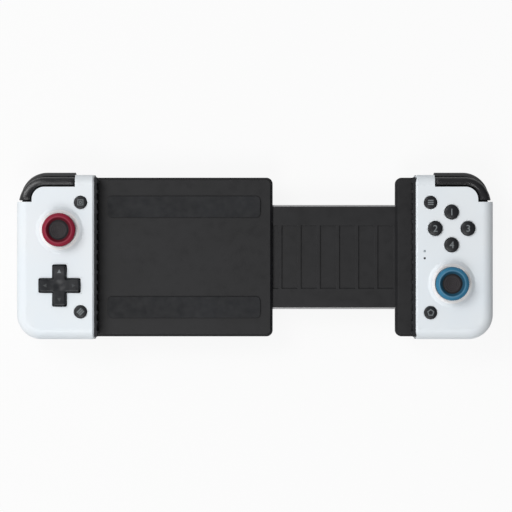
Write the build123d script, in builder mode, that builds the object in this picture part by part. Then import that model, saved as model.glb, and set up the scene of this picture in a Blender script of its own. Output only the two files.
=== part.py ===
from build123d import *
import os
from math import cos, radians, sin

os.makedirs("parts", exist_ok=True)

# The controller lies on its back with its face up, pulled open as in use.
# X runs along it, Y towards the shoulder buttons and Z out of its face. Millimetres.

# Grips
bay_length = 153.4
grip_width = 37.0
shell_height = 78.45
back_depth = 19.0
front_depth = 11.0
wall = 2.2
cut_overrun = 5.0
pick_tolerance = 0.01
lower_corner_radius = 11.75
upper_corner_radius = 13.75
front_rounding = 5.0
bay_edge_chamfer = 0.8

# The back of a grip: flat where it rests, rising towards all sides
rest_from_inner = 12.0
rest_to_inner = 25.0
rest_above_middle = 14.0
rest_below_middle = 18.0
inner_side_rise = 8.0
outer_side_rise = 7.5
upper_end_rise = 6.0
lower_end_rise = 4.0
rest_blend_radius = 40.0
end_blend_radius = 9.0
inner_blend_radius = 6.0
outer_blend_radius = 9.0
rest_side_radius = 12.0
upper_pocket_depth = 7.0
lower_pocket_depth = 11.6
lower_pocket_inset = 5.0

# Shoulder bay, an L that wraps the upper outer corner
bay_inner_end = 9.1
bay_band = 5.7
bay_side_band = 7.3
bay_leg_end = 12.9
bay_bend_radius = 6.0
bay_bend_limit_share = 0.95
bay_floor_height = 6.5
bay_end_wall = 2.0

# Bumper, bracket and trigger
bumper_inset = 1.1
bumper_gap = 0.8
bumper_end_gap = 0.4
bumper_foot_gap = 0.4
bumper_drop = 0.6
bumper_rounding = 2.2
bracket_inset = 1.9
bracket_root = 3.4
bracket_end_root = 1.0
bracket_below = 0.8
bracket_above = 0.4
post_radius = 0.9
post_height = 8.0
post_from_end = 2.9
post_from_band = 2.7
post_head_gap = 0.2
shaft_clearance = 0.05
trigger_reach = 1.65
trigger_end_gap = 0.5
trigger_top_gap = 0.7
trigger_height = 9.9
trigger_skin = 2.0
trigger_belly_depth = 4.0
trigger_belly_radius = 14.0
trigger_top_tuck = 0.5
trigger_tuck = 1.3
trigger_edge = 0.6
trigger_wrap_angle = 86.0
trigger_side_inset = 0.8
trigger_slope_angle = 9.0
trigger_barrel_radius = 1.8
trigger_barrel_length = 8.2
trigger_pin_radius = 0.8
trigger_pin_below = 2.6
trigger_pin_from_band = 2.9
lug_thickness = 2.0
lug_half = 1.3
lug_gap = 0.3
lug_from_end = 1.4

# Controls on the left grip, from its inner face, and along it from its middle or from the nearer end
left_control_line = 16.4
left_stick_y = 12.1
dpad_y = -14.4
left_small_button_line = 6.4
left_upper_button_from_top = 13.2
left_lower_button_from_bottom = 13.15

# Controls on the right grip
right_control_line = 17.0
right_stick_y = -13.5
face_buttons_y = 12.8
face_button_pitch = 7.8
right_small_button_line = 7.0
right_upper_button_from_top = 13.2
right_lower_button_from_bottom = 12.75
light_line = 4.2
light_upper_y = 2.0
light_lower_y = -1.4
light_radius = 0.5
light_foot_gap = 0.5
light_sides = 12

# Thumb stick
stick_pivot_below_face = 8.5
stick_height = 8.0
rim_radius = 8.05
rim_crest_radius = 6.6
rim_inner_radius = 4.75
rim_side_drop = 1.3
rim_depth = 2.8
rim_dip = 1.2
core_radius = 6.9
dish_drop = 1.7
core_under_drop = 3.4
stem_radius = 1.5
stem_below_pivot = 1.2
dome_radius = 8.8
dome_skin = 1.0
dome_top_angle = 20.0
dome_edge_angle = 62.0
dome_steps = 2
collar_height = 0.6
collar_foot_radius = 11.0
collar_top_radius = 9.7
well_top_radius = 8.0
well_radius = 7.2
module_half = 5.6
module_wall = 0.6
module_depth = 4.4
module_rise = 2.1
module_corner = 2.0
module_ear = 1.2
module_ear_length = 4.0
module_ear_thickness = 0.6
module_board_gap = 0.2
cradle_gap = 0.2
cradle_wall = 0.7
cradle_rise = 1.7
cradle_drop = 2.1
yoke_gap = 0.4
yoke_wall = 0.8
yoke_half_height = 1.0
yoke_corner = 1.0
trunnion_radius = 0.5

# Cross
dpad_length = 19.8
dpad_arm = 6.7
dpad_corner = 0.6
dpad_gap = 0.5
dpad_proud = 2.3
dpad_edge = 0.5
dpad_dish_depth = 0.5
dpad_dish_radius = 3.2
dpad_disc_radius = 11.4
dpad_disc = 1.2
dpad_disc_below_face = 3.6
dpad_ball_radius = 1.8
dpad_ball_gap = 0.1
dpad_ball_seat = 0.9
dpad_pivot_foot_radius = 1.0
dpad_pivot_foot_gap = 0.1
dpad_key_radius = 1.3
dpad_key_length = 0.9
dpad_key_orbit = 7.6

# Push buttons
face_button_radius = 3.6
face_button_proud = 1.6
small_button_radius = 3.25
small_button_proud = 0.9
button_gap = 0.3
button_edge = 0.5
button_flange = 0.9
button_flange_width = 0.7
button_flange_gap = 0.2
hidden_sides = 12
button_travel = 1.0
button_dome_gap = 0.2

# Rubber domes under the buttons
sheet_thickness = 0.7
small_sheet_width = 8.4
cross_sheet_width = 16.6
cross_sheet_turn = 45.0
sheet_corner = 1.6
dome_radius_at_foot = 2.7
dome_draft = 12.0
dome_sides = 8
dpad_dome_height = 1.2

# Boards, battery and socket
board_thickness = 1.2
board_above_part_line = 1.4
board_inset = 2.8
board_bay_gap = 0.8
battery_width = 22.0
battery_length = 34.0
battery_thickness = 5.0
battery_corner = 1.5
battery_line = 18.5
battery_below_middle = 2.0
socket_width = 8.94
socket_height = 3.2
socket_depth = 7.3
socket_shell = 0.35
socket_tongue = 0.7
socket_tongue_width = 6.6
socket_back = 0.8
socket_line = 18.5
socket_recess = 0.6
socket_mouth_gap = 0.3

# Screws
screw_head_radius = 1.9
screw_head = 1.4
screw_radius = 1.0
screw_sides = 8
screw_head_sides = 12
screw_length = 8.0
screw_seat_depth = 2.6
screw_clearance = 0.2
front_boss_half = 2.2
back_boss_half = 3.0
boss_gap = 0.2
inner_screw_line = 4.2
inner_screw_from_end = 5.0
outer_screw_line = 29.2
outer_screw_from_end = 13.6

# Rubber pads on the inner faces of the grips
end_pad = 1.9
end_pad_rib = 0.7
end_pad_rib_width = 1.6
end_pad_pitch = 4.8
end_pad_below_face = 0.9

# Bridge
tray_height = 76.2
tray_length = 85.2
bridge_root = 5.0
tray_bottom = 12.0
tray_thickness = 8.0
deck_thickness = 1.8
cover_thickness = 2.4
tray_edge = 1.2
tray_corner_radius = 3.0
sleeve_side_wall = 1.8
tray_end_length = 9.3
slider_width = 50.0
slider_gap = 0.3
slider_engagement = 42.5
slider_window_margin = 9.0
slider_window_depth = 0.8
slider_rib_width = 1.6
slider_window_count = 11
slider_rail_width = 0.8
slider_rail_height = 2.2
spring_channel_width = 3.6
spring_channel_depth = 2.7
spring_line = 20.0
spring_radius = 1.2
spring_sides = 8
spring_reach = 71.0
spring_end_gap = 0.6
ribbon_width = 12.0
ribbon_thickness = 0.3
ribbon_channel_width = 14.0
ribbon_channel_depth = 0.9
ribbon_end_gap = 0.6
tray_pad_thickness = 1.0
tray_pad_width = 10.0
tray_pad_from_edge = 9.0
tray_pad_end_margin = 6.0
tray_pad_corner = 2.0
tray_screw_from_edge = 6.0
tray_screw_from_end = 9.0
tray_screw_length = 4.6
tray_screw_head = 1.2

# Places worked out from the sizes
inner_x = bay_length / 2
outer_x = inner_x + grip_width
overall_height = shell_height + trigger_reach
top_y = overall_height / 2 - trigger_reach
bottom_y = -overall_height / 2
middle_y = (top_y + bottom_y) / 2
part_z = back_depth
face_z = back_depth + front_depth
ceiling_z = face_z - wall
pivot_z = face_z - stick_pivot_below_face
stick_top_z = face_z + stick_height
board_z = part_z + board_above_part_line
board_top = board_z + board_thickness
tray_top = tray_bottom + tray_thickness
tray_end_x = tray_length - inner_x
band_y = top_y - bay_band
leg_x = outer_x - bay_side_band
leg_end_y = top_y - bay_leg_end
bracket_z = part_z - bracket_below
bracket_top = part_z + bracket_above
pressed_z = ceiling_z - button_flange_gap - button_flange - button_travel
button_dome_height = pressed_z - button_dome_gap - board_top - sheet_thickness
sleeve_bottom = tray_bottom + cover_thickness
sleeve_top = tray_top - deck_thickness
sleeve_half = slider_width / 2 + slider_gap
root_half = sleeve_half + sleeve_side_wall
slider_bottom = sleeve_bottom + slider_gap
slider_thickness = sleeve_top - sleeve_bottom - 2 * slider_gap
slider_top = slider_bottom + slider_thickness
slider_start = tray_end_x - slider_engagement
low_centre = (Align.CENTER, Align.CENTER, Align.MIN)


def grip_plan(side, inset=0):
    """The widest outline of a grip, drawn in by an inset."""
    inner = side * (inner_x + inset)
    outer = side * (outer_x - inset)
    low = bottom_y + inset
    high = top_y - inset
    with BuildSketch() as plan:
        with BuildLine():
            FilletPolyline(
                (inner, low), (outer, low), (outer, high), (inner, high),
                radius=[0, lower_corner_radius - inset, upper_corner_radius - inset, 0],
                close=True,
            )
        make_face()
    return plan.sketch


def shoulder_plan(side, gap=0, end_gap=0):
    """The L-shaped outline of the shoulder bay, drawn back from its walls by a gap."""
    end_x = side * (inner_x + bay_inner_end + end_gap)
    side_x = side * (leg_x + gap)
    far_x = side * (outer_x + cut_overrun)
    band = band_y + gap
    foot = leg_end_y + gap
    far_y = top_y + cut_overrun
    bend = min(bay_bend_radius + gap, bay_bend_limit_share * (band - foot))
    with BuildSketch() as plan:
        with BuildLine():
            FilletPolyline(
                (end_x, band), (side_x, band), (side_x, foot), (far_x, foot), (far_x, far_y), (end_x, far_y),
                radius=[0, bend, 0, 0, 0, 0],
                close=True,
            )
        make_face()
    return plan.sketch


def on_outer_rim(edge, inset=0):
    """True for an edge that follows the outer plan of a grip, and not for one that ends there."""
    reach = outer_x - inset
    low = bottom_y + inset
    high = top_y - inset
    depths = [min(reach - abs(v.X), v.Y - low, high - v.Y) for v in edge.vertices()]
    beyond_inner_face = abs(edge.center().X) > inner_x + inset + pick_tolerance
    return max(depths) < pick_tolerance and beyond_inner_face


def screw_places(side):
    """The three screws that hold a grip's halves together."""
    return [
        (side * (inner_x + inner_screw_line), bottom_y + inner_screw_from_end),
        (side * (inner_x + inner_screw_line), top_y - inner_screw_from_end),
        (side * (inner_x + outer_screw_line), bottom_y + outer_screw_from_end),
    ]


def bracket_plan(side):
    """Band along the shoulder bay, from inside its walls to just short of the outer outline."""
    with BuildSketch() as plan:
        add(grip_plan(side, bracket_inset))
        add(shoulder_plan(side, -bracket_root, -bracket_end_root), mode=Mode.INTERSECT)
    return plan.sketch


def hollow_plan(side, inset):
    """Inside outline of a shell, kept clear of the shoulder bay by a wall."""
    with BuildSketch() as plan:
        add(grip_plan(side, inset))
        add(shoulder_plan(side, -wall, -bay_end_wall), mode=Mode.SUBTRACT)
    return plan.sketch


def root_plan(side):
    """Plan of the end of the bridge that sits in a grip."""
    with BuildSketch() as plan:
        with Locations((side * inner_x, middle_y)):
            Rectangle(2 * bridge_root, 2 * root_half)
    return plan.sketch


def front_shell(side, stick, rounds, small_rounds, lights, cross):
    """White front half of a grip, with its stick collar and the openings for its buttons."""
    with BuildPart() as shell:
        with BuildSketch(Plane.XY.offset(part_z)):
            add(grip_plan(side))
        extrude(amount=front_depth)
        rim = [e for e in shell.faces().sort_by(Axis.Z)[-1].edges() if on_outer_rim(e)]
        fillet(rim, radius=front_rounding)
        bay_edge = shell.faces().sort_by(Axis.Z)[-1].edges().sort_by(Axis.X, reverse=side < 0)[0]
        chamfer(bay_edge, length=bay_edge_chamfer)
        with BuildSketch(Plane.XY.offset(part_z)):
            add(shoulder_plan(side))
        extrude(amount=front_depth, mode=Mode.SUBTRACT)
        with BuildSketch(Plane.XY.offset(part_z)):
            add(hollow_plan(side, wall))
        extrude(amount=front_depth - wall, mode=Mode.SUBTRACT)
        # Collar of the stick and its well
        with Locations((*stick, face_z)):
            Cone(collar_foot_radius, collar_top_radius, collar_height, align=low_centre)
        with Locations((*stick, ceiling_z)):
            Cone(well_radius, well_top_radius, wall + collar_height, align=low_centre, mode=Mode.SUBTRACT)
        # Round openings, and the cross
        with BuildSketch(Plane.XY.offset(face_z)):
            with Locations(*small_rounds):
                Circle(small_button_radius + button_gap)
            if rounds:
                with Locations(*rounds):
                    Circle(face_button_radius + button_gap)
            if lights:
                with Locations(*lights):
                    RegularPolygon(light_radius + shaft_clearance, light_sides)
            if cross:
                with Locations(*cross):
                    Rectangle(dpad_length + 2 * dpad_gap, dpad_arm + 2 * dpad_gap)
                    Rectangle(dpad_arm + 2 * dpad_gap, dpad_length + 2 * dpad_gap)
        extrude(amount=-wall, mode=Mode.SUBTRACT)
        # Screw bosses down to the part line
        with BuildSketch(Plane.XY.offset(part_z)):
            with Locations(*screw_places(side)):
                Rectangle(2 * front_boss_half, 2 * front_boss_half)
        extrude(amount=front_depth - wall)
        with BuildSketch(Plane.XY.offset(part_z)):
            with Locations(*screw_places(side)):
                RegularPolygon(screw_radius, screw_sides)
        extrude(amount=screw_length - screw_seat_depth, mode=Mode.SUBTRACT)
        # Seats of the bracket and of the bridge
        with BuildSketch(Plane.XY.offset(part_z)):
            add(bracket_plan(side))
        extrude(amount=bracket_above, mode=Mode.SUBTRACT)
        with BuildSketch(Plane.XY.offset(part_z)):
            add(root_plan(side))
        extrude(amount=tray_top - part_z, mode=Mode.SUBTRACT)
        if side > 0:
            add(socket_mouth(), mode=Mode.SUBTRACT)
    return shell.part


def socket_mouth():
    """The opening for a charging plug, on the part line at the lower end of the right grip."""
    with BuildPart() as mouth:
        with BuildSketch(Plane.XZ.offset(-bottom_y - wall - cut_overrun)):
            with Locations((inner_x + socket_line, board_z - socket_height / 2)):
                SlotOverall(socket_width + 2 * socket_mouth_gap, socket_height + 2 * socket_mouth_gap)
        extrude(amount=wall + 2 * cut_overrun)
    return mouth.part


def back_shell(side):
    """Back half of a grip, swelling into the hand and flat where it rests."""
    inner = side * inner_x
    outer = side * outer_x
    rest_inner = side * (inner_x + rest_from_inner)
    rest_outer = side * (inner_x + rest_to_inner)
    rest_high = middle_y + rest_above_middle
    rest_low = middle_y - rest_below_middle
    with BuildPart() as shell:
        # Seen from the end of the controller
        with BuildSketch(Plane.YZ):
            with BuildLine():
                FilletPolyline(
                    (top_y, part_z), (top_y, upper_end_rise), (rest_high, 0),
                    (rest_low, 0), (bottom_y, lower_end_rise), (bottom_y, part_z),
                    radius=[0, end_blend_radius, rest_blend_radius, rest_blend_radius, end_blend_radius, 0],
                    close=True,
                )
            make_face()
        extrude(amount=side * (outer_x + cut_overrun))
        # Seen from above the shoulder buttons
        with BuildSketch(Plane.XZ.offset(-top_y - cut_overrun)):
            with BuildLine():
                FilletPolyline(
                    (inner, part_z), (inner, inner_side_rise), (rest_inner, 0),
                    (rest_outer, 0), (outer, outer_side_rise), (outer, part_z),
                    radius=[0, inner_blend_radius, rest_side_radius, rest_side_radius, outer_blend_radius, 0],
                    close=True,
                )
            make_face()
        extrude(amount=overall_height + 2 * cut_overrun, mode=Mode.INTERSECT)
        # Seen from the front
        with BuildSketch():
            add(grip_plan(side))
        extrude(amount=part_z, mode=Mode.INTERSECT)
        # Hollow inside, stepped as the back draws in
        with BuildSketch(Plane.XY.offset(part_z)):
            add(hollow_plan(side, wall))
        extrude(amount=-upper_pocket_depth, mode=Mode.SUBTRACT)
        with BuildSketch(Plane.XY.offset(part_z)):
            add(hollow_plan(side, lower_pocket_inset))
        extrude(amount=-lower_pocket_depth, mode=Mode.SUBTRACT)
        # Screw bosses with wells from the back
        with BuildSketch(Plane.XY.offset(part_z)):
            with Locations(*screw_places(side)):
                Rectangle(2 * back_boss_half, 2 * back_boss_half)
        extrude(amount=-lower_pocket_depth)
        with BuildSketch(Plane.XY.offset(part_z - screw_seat_depth)):
            with Locations(*screw_places(side)):
                RegularPolygon(screw_head_radius + screw_clearance, screw_head_sides)
        extrude(amount=-back_depth, mode=Mode.SUBTRACT)
        with BuildSketch(Plane.XY.offset(part_z)):
            with Locations(*screw_places(side)):
                RegularPolygon(screw_radius + screw_clearance, screw_sides)
        extrude(amount=-screw_seat_depth, mode=Mode.SUBTRACT)
        # Shoulder bay, and the seats of the bracket and of the bridge
        with BuildSketch(Plane.XY.offset(bay_floor_height)):
            add(shoulder_plan(side))
        extrude(amount=part_z - bay_floor_height, mode=Mode.SUBTRACT)
        with BuildSketch(Plane.XY.offset(part_z)):
            add(bracket_plan(side))
        extrude(amount=-bracket_below, mode=Mode.SUBTRACT)
        with BuildSketch(Plane.XY.offset(part_z)):
            add(root_plan(side))
        extrude(amount=tray_bottom - part_z, mode=Mode.SUBTRACT)
        if side > 0:
            add(socket_mouth(), mode=Mode.SUBTRACT)
    return shell.part


def pin_places(side):
    """Where the trigger's barrel starts, and the two lugs that hold its pin."""
    lug_start = inner_x + bay_inner_end + lug_from_end
    barrel_start = lug_start + lug_thickness + lug_gap
    far_lug_start = barrel_start + trigger_barrel_length + lug_gap
    return side * lug_start, side * barrel_start, side * far_lug_start


def shoulder_bracket(side):
    """Bracket clamped on the part line, with the bumper's post above and the trigger's lugs below."""
    post = (side * (inner_x + bay_inner_end + post_from_end), band_y + post_from_band)
    pin_y = band_y + trigger_pin_from_band
    pin_z = bracket_z - trigger_pin_below
    near_lug, barrel, far_lug = pin_places(side)
    with BuildPart() as bracket:
        with BuildSketch(Plane.XY.offset(bracket_z)):
            add(bracket_plan(side))
        extrude(amount=bracket_top - bracket_z)
        with BuildSketch(Plane.XY.offset(bracket_top)):
            with Locations(post):
                Circle(post_radius)
        extrude(amount=post_height)
        for start in (near_lug, far_lug):
            with BuildSketch(Plane.YZ.offset(start)):
                with Locations((pin_y, (pin_z - lug_half + bracket_z) / 2)):
                    Rectangle(2 * lug_half, bracket_z - pin_z + lug_half)
                with Locations((pin_y, pin_z)):
                    Circle(trigger_pin_radius + shaft_clearance, mode=Mode.SUBTRACT)
            extrude(amount=side * lug_thickness)
    return bracket.part


def trigger_pin(side):
    """Steel pin through both lugs and the trigger's barrel."""
    near_lug, barrel, far_lug = pin_places(side)
    with BuildPart() as pin:
        with BuildSketch(Plane.YZ.offset(near_lug)):
            with Locations((band_y + trigger_pin_from_band, bracket_z - trigger_pin_below)):
                Circle(trigger_pin_radius)
        extrude(amount=far_lug + side * lug_thickness - near_lug)
    return pin.part


def bumper(side):
    """Dark shoulder button that wraps the corner and turns on the bracket's post."""
    low = bracket_top + bumper_foot_gap
    height = face_z - bumper_drop - low
    post = (side * (inner_x + bay_inner_end + post_from_end), band_y + post_from_band)
    with BuildPart() as button:
        with BuildSketch(Plane.XY.offset(low)):
            add(grip_plan(side, bumper_inset))
        extrude(amount=height)
        rim = [e for e in button.faces().sort_by(Axis.Z)[-1].edges() if on_outer_rim(e, bumper_inset)]
        fillet(rim, radius=bumper_rounding)
        with BuildSketch(Plane.XY.offset(low)):
            add(shoulder_plan(side, bumper_gap, bumper_end_gap))
        extrude(amount=height, mode=Mode.INTERSECT)
        with BuildSketch(Plane.XY.offset(low)):
            with Locations(post):
                Circle(post_radius + shaft_clearance)
        extrude(amount=bracket_top + post_height + post_head_gap - low, mode=Mode.SUBTRACT)
    return button.part


def trigger(side):
    """Lever behind the bumper: a bellied plate along the edge and round the whole corner, on a barrel."""
    belly_y = top_y + trigger_reach
    high = bracket_z - trigger_top_gap
    belly_z = high - trigger_belly_depth
    low = high - trigger_height
    start = side * (inner_x + bay_inner_end + trigger_end_gap)
    turn_x = side * (outer_x - upper_corner_radius)
    turn_y = belly_y - upper_corner_radius + trigger_side_inset
    pin_y = band_y + trigger_pin_from_band
    pin_z = bracket_z - trigger_pin_below
    near_lug, barrel, far_lug = pin_places(side)
    with BuildSketch() as profile:
        with BuildLine():
            FilletPolyline(
                (belly_y - trigger_top_tuck - trigger_skin, high),
                (belly_y - trigger_top_tuck - trigger_edge, high),
                (belly_y - trigger_top_tuck, high - trigger_edge),
                (belly_y, belly_z),
                (belly_y - trigger_tuck, low + trigger_edge), (belly_y - trigger_tuck - trigger_edge, low),
                (belly_y - trigger_tuck - trigger_skin, low), (belly_y - trigger_skin, belly_z),
                radius=[0, 0, 0, trigger_belly_radius, 0, 0, 0, 0],
                close=True,
            )
        make_face()
    with BuildPart() as lever:
        with BuildSketch(Plane.YZ.offset(start)):
            add(profile.sketch)
        extrude(amount=turn_x - start)
        with BuildSketch(Plane.YZ.offset(turn_x)):
            add(profile.sketch)
        revolve(axis=Axis((turn_x, turn_y, 0), (0, 0, -side)), revolution_arc=trigger_wrap_angle)
        # The top edge slopes down round the corner, so that it clears the bracket when pulled
        slope_length = pin_y - leg_end_y
        with BuildSketch(Plane.YZ.offset(turn_x)):
            with BuildLine():
                Polyline(
                    (pin_y, high), (leg_end_y, high - slope_length * sin(radians(trigger_slope_angle))),
                    (leg_end_y, high + trigger_top_gap), (pin_y, high + trigger_top_gap),
                    close=True,
                )
            make_face()
        extrude(amount=side * upper_corner_radius, mode=Mode.SUBTRACT)
        with BuildSketch(Plane.YZ.offset(barrel)):
            with Locations((pin_y, pin_z)):
                Circle(trigger_barrel_radius)
            with Locations(((pin_y + belly_y - trigger_skin) / 2, pin_z)):
                Rectangle(belly_y - trigger_skin - pin_y, 2 * trigger_barrel_radius)
            with Locations((pin_y, pin_z)):
                Circle(trigger_pin_radius + shaft_clearance, mode=Mode.SUBTRACT)
        extrude(amount=side * trigger_barrel_length)
    return lever.part


def cut_square(place, width, corner, inset=0, turn=0):
    """Square with its corners cut off, drawn in by an inset."""
    across = width - 2 * inset
    across_corners = (width - corner) / cos(radians(45)) - 2 * inset
    with BuildSketch() as outline:
        with Locations(place):
            Rectangle(across, across, rotation=turn)
            Rectangle(across_corners, across_corners, rotation=turn + 45, mode=Mode.INTERSECT)
    return outline.sketch


def stick_module(stick):
    """Can of the stick, hung in an opening of the board by its ears."""
    with BuildPart() as module:
        with BuildSketch(Plane.XY.offset(pivot_z - module_depth)):
            add(cut_square(stick, 2 * module_half, module_corner))
        extrude(amount=module_depth + module_rise)
        with BuildSketch(Plane.XY.offset(board_top)):
            with Locations(stick):
                Rectangle(2 * (module_half + module_ear), module_ear_length)
                Rectangle(module_ear_length, 2 * (module_half + module_ear))
        extrude(amount=module_ear_thickness)
        with BuildSketch(Plane.XY.offset(pivot_z - module_depth + module_wall)):
            add(cut_square(stick, 2 * module_half, module_corner, module_wall))
        extrude(amount=module_depth + module_rise, mode=Mode.SUBTRACT)
    return module.part


def stick_cradle(stick):
    """Sprung frame that goes down with a click and carries the yoke's trunnions."""
    inset = module_wall + cradle_gap
    half = module_half - inset
    notch = 2 * (trunnion_radius + shaft_clearance)
    with BuildPart() as cradle:
        with BuildSketch(Plane.XY.offset(pivot_z - cradle_drop)):
            add(cut_square(stick, 2 * module_half, module_corner, inset))
            add(cut_square(stick, 2 * module_half, module_corner, inset + cradle_wall), mode=Mode.SUBTRACT)
        extrude(amount=cradle_drop + cradle_rise)
        # Open notches that the yoke's trunnions drop into
        with BuildSketch(Plane.YZ.offset(stick[0] - half)):
            with Locations((stick[1], pivot_z - trunnion_radius - shaft_clearance)):
                Rectangle(notch, cradle_drop + cradle_rise, align=(Align.CENTER, Align.MIN))
        extrude(amount=2 * half, mode=Mode.SUBTRACT)
    return cradle.part


def stick_yoke(stick):
    """Square frame that tilts up and down the controller's height and carries the stem."""
    cradle_half = module_half - module_wall - cradle_gap
    half = cradle_half - cradle_wall - yoke_gap
    notch = 2 * (trunnion_radius + shaft_clearance)
    with BuildPart() as yoke:
        with BuildSketch(Plane.XY.offset(pivot_z - yoke_half_height)):
            add(cut_square(stick, 2 * half, yoke_corner))
            with Locations(stick):
                Rectangle(2 * (half - yoke_wall), 2 * (half - yoke_wall), mode=Mode.SUBTRACT)
        extrude(amount=2 * yoke_half_height)
        with BuildSketch(Plane.YZ.offset(stick[0] - cradle_half)):
            with Locations((stick[1], pivot_z)):
                Circle(trunnion_radius)
        extrude(amount=cradle_half - half + yoke_wall / 2)
        with BuildSketch(Plane.YZ.offset(stick[0] + cradle_half)):
            with Locations((stick[1], pivot_z)):
                Circle(trunnion_radius)
        extrude(amount=half - yoke_wall / 2 - cradle_half)
        # Open notches that the stem's trunnions drop into
        with BuildSketch(Plane.XZ.offset(-stick[1] - half)):
            with Locations((stick[0], pivot_z - trunnion_radius - shaft_clearance)):
                Rectangle(notch, 2 * yoke_half_height, align=(Align.CENTER, Align.MIN))
        extrude(amount=2 * half, mode=Mode.SUBTRACT)
    return yoke.part


def upright_plane(place):
    """Plane through a place on the face, with X across and the height up."""
    return Plane(origin=(*place, 0), x_dir=(1, 0, 0), z_dir=(0, -1, 0))


def sphere_points(radius):
    """Points of the dust dome's profile from its neck to its edge, as distance from the axis and height."""
    sweep_angle = dome_edge_angle - dome_top_angle
    angles = [dome_top_angle + sweep_angle * i / dome_steps for i in range(dome_steps + 1)]
    return [(radius * sin(radians(a)), pivot_z + radius * cos(radians(a))) for a in angles]


def stick_cap(stick):
    """Stem, dust dome and dark thumb dish of a stick, with the trunnions that sit in the yoke."""
    yoke_outer = module_half - module_wall - cradle_gap - cradle_wall - yoke_gap
    outer = sphere_points(dome_radius)
    inner = sphere_points(dome_radius - dome_skin)
    core_under_z = stick_top_z - core_under_drop
    with BuildPart() as cap:
        with BuildSketch(upright_plane(stick)):
            with BuildLine():
                Polyline(
                    (0, pivot_z - stem_below_pivot), (stem_radius, pivot_z - stem_below_pivot),
                    (stem_radius, inner[0][1]), inner[-1], *reversed(outer),
                    (outer[0][0], core_under_z), (core_radius, core_under_z),
                    (core_radius, stick_top_z - dish_drop), (0, stick_top_z - dish_drop),
                    close=True,
                )
            make_face()
        revolve(axis=Axis((*stick, 0), (0, 0, 1)))
        with BuildSketch(Plane.XZ.offset(-stick[1] - yoke_outer)):
            with Locations((stick[0], pivot_z)):
                Circle(trunnion_radius)
        extrude(amount=2 * yoke_outer)
    return cap.part


def stick_ring(stick):
    """Coloured rim round the thumb dish."""
    with BuildPart() as ring:
        with BuildSketch(upright_plane(stick)):
            with BuildLine():
                Polyline(
                    (core_radius, stick_top_z - rim_depth), (rim_radius, stick_top_z - rim_depth),
                    (rim_radius, stick_top_z - rim_side_drop),
                    (rim_crest_radius, stick_top_z), (rim_inner_radius, stick_top_z - rim_dip),
                    (rim_inner_radius, stick_top_z - dish_drop), (core_radius, stick_top_z - dish_drop),
                    close=True,
                )
            make_face()
        revolve(axis=Axis((*stick, 0), (0, 0, 1)))
    return ring.part


def push_button(place, radius, proud, edge):
    """Round button with a flange under the face."""
    with BuildPart() as button:
        with BuildSketch(Plane.XY.offset(face_z + proud)):
            with Locations(place):
                Circle(radius)
        extrude(amount=-(proud + wall + button_flange_gap))
        if edge:
            chamfer(button.faces().sort_by(Axis.Z)[-1].edges(), length=edge)
        with BuildSketch(Plane.XY.offset(ceiling_z - button_flange_gap)):
            with Locations(place):
                RegularPolygon(radius + button_flange_width, hidden_sides)
        extrude(amount=-button_flange)
    return button.part


def dome_sheet(centres, sheet_width, turn, places, height):
    """Rubber sheet on the board with a stubby dome under each button."""
    with BuildPart() as sheet:
        with BuildSketch(Plane.XY.offset(board_top)):
            for centre in centres:
                add(cut_square(centre, sheet_width, sheet_corner, turn=turn))
        extrude(amount=sheet_thickness)
        with BuildSketch(Plane.XY.offset(board_top + sheet_thickness)):
            with Locations(*places):
                RegularPolygon(dome_radius_at_foot, dome_sides)
        extrude(amount=height, taper=dome_draft)
    return sheet.part


def circuit_board(side, stick):
    """Board of a grip, with an opening for the stick's can and room for the bosses."""
    notch = 2 * (front_boss_half + boss_gap)
    with BuildPart() as board:
        with BuildSketch(Plane.XY.offset(board_z)):
            add(grip_plan(side, board_inset))
            add(shoulder_plan(side, -wall - board_bay_gap, -bay_end_wall - board_bay_gap), mode=Mode.SUBTRACT)
            with Locations(*screw_places(side)):
                Rectangle(notch, notch, mode=Mode.SUBTRACT)
            add(cut_square(stick, 2 * module_half, module_corner, -module_board_gap), mode=Mode.SUBTRACT)
        extrude(amount=board_thickness)
    return board.part


def grip_screws(side):
    """The screws of one grip."""
    seat = part_z - screw_seat_depth
    with BuildPart() as screws:
        with BuildSketch(Plane.XY.offset(seat)):
            with Locations(*screw_places(side)):
                RegularPolygon(screw_head_radius, screw_head_sides)
        extrude(amount=-screw_head)
        with BuildSketch(Plane.XY.offset(seat)):
            with Locations(*screw_places(side)):
                RegularPolygon(screw_radius, screw_sides)
        extrude(amount=screw_length)
    return screws.part


def end_rubber(side):
    """Rubber pad on a grip's inner face, ribbed across the phone's end."""
    height = face_z - end_pad_below_face - tray_top
    base = end_pad - end_pad_rib
    rib_count = int((tray_height - end_pad_rib_width) / end_pad_pitch) + 1
    with BuildPart() as pad:
        with BuildSketch(Plane.XY.offset(tray_top)):
            with Locations((side * (inner_x - base / 2), middle_y)):
                Rectangle(base, tray_height)
            with Locations((side * (inner_x - end_pad / 2), middle_y)):
                with GridLocations(0, end_pad_pitch, 1, rib_count):
                    Rectangle(end_pad, end_pad_rib_width)
        extrude(amount=height)
        crests = pad.faces().sort_by(Axis.Z)[-1].edges().filter_by(Axis.Y)
        reach = inner_x - end_pad
        outer_crests = [e for e in crests if abs(abs(e.center().X) - reach) < pick_tolerance]
        chamfer(outer_crests, length=end_pad_rib / 2)
    return pad.part


def tray_section(low, high, half_hollow, hollow_low, hollow_high):
    """Section of one half of the sleeve across the bridge, with the slider's hollow."""
    with BuildSketch() as section:
        with Locations((middle_y, (low + high) / 2)):
            Rectangle(tray_height, high - low)
        with Locations((middle_y, (hollow_low + hollow_high) / 2)):
            Rectangle(2 * half_hollow, hollow_high - hollow_low, mode=Mode.SUBTRACT)
    return section.sketch


def name_part(part, name):
    """Label a finished piece and write it."""
    part.label = name
    export_step(part, f"parts/{name}.step")


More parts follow.
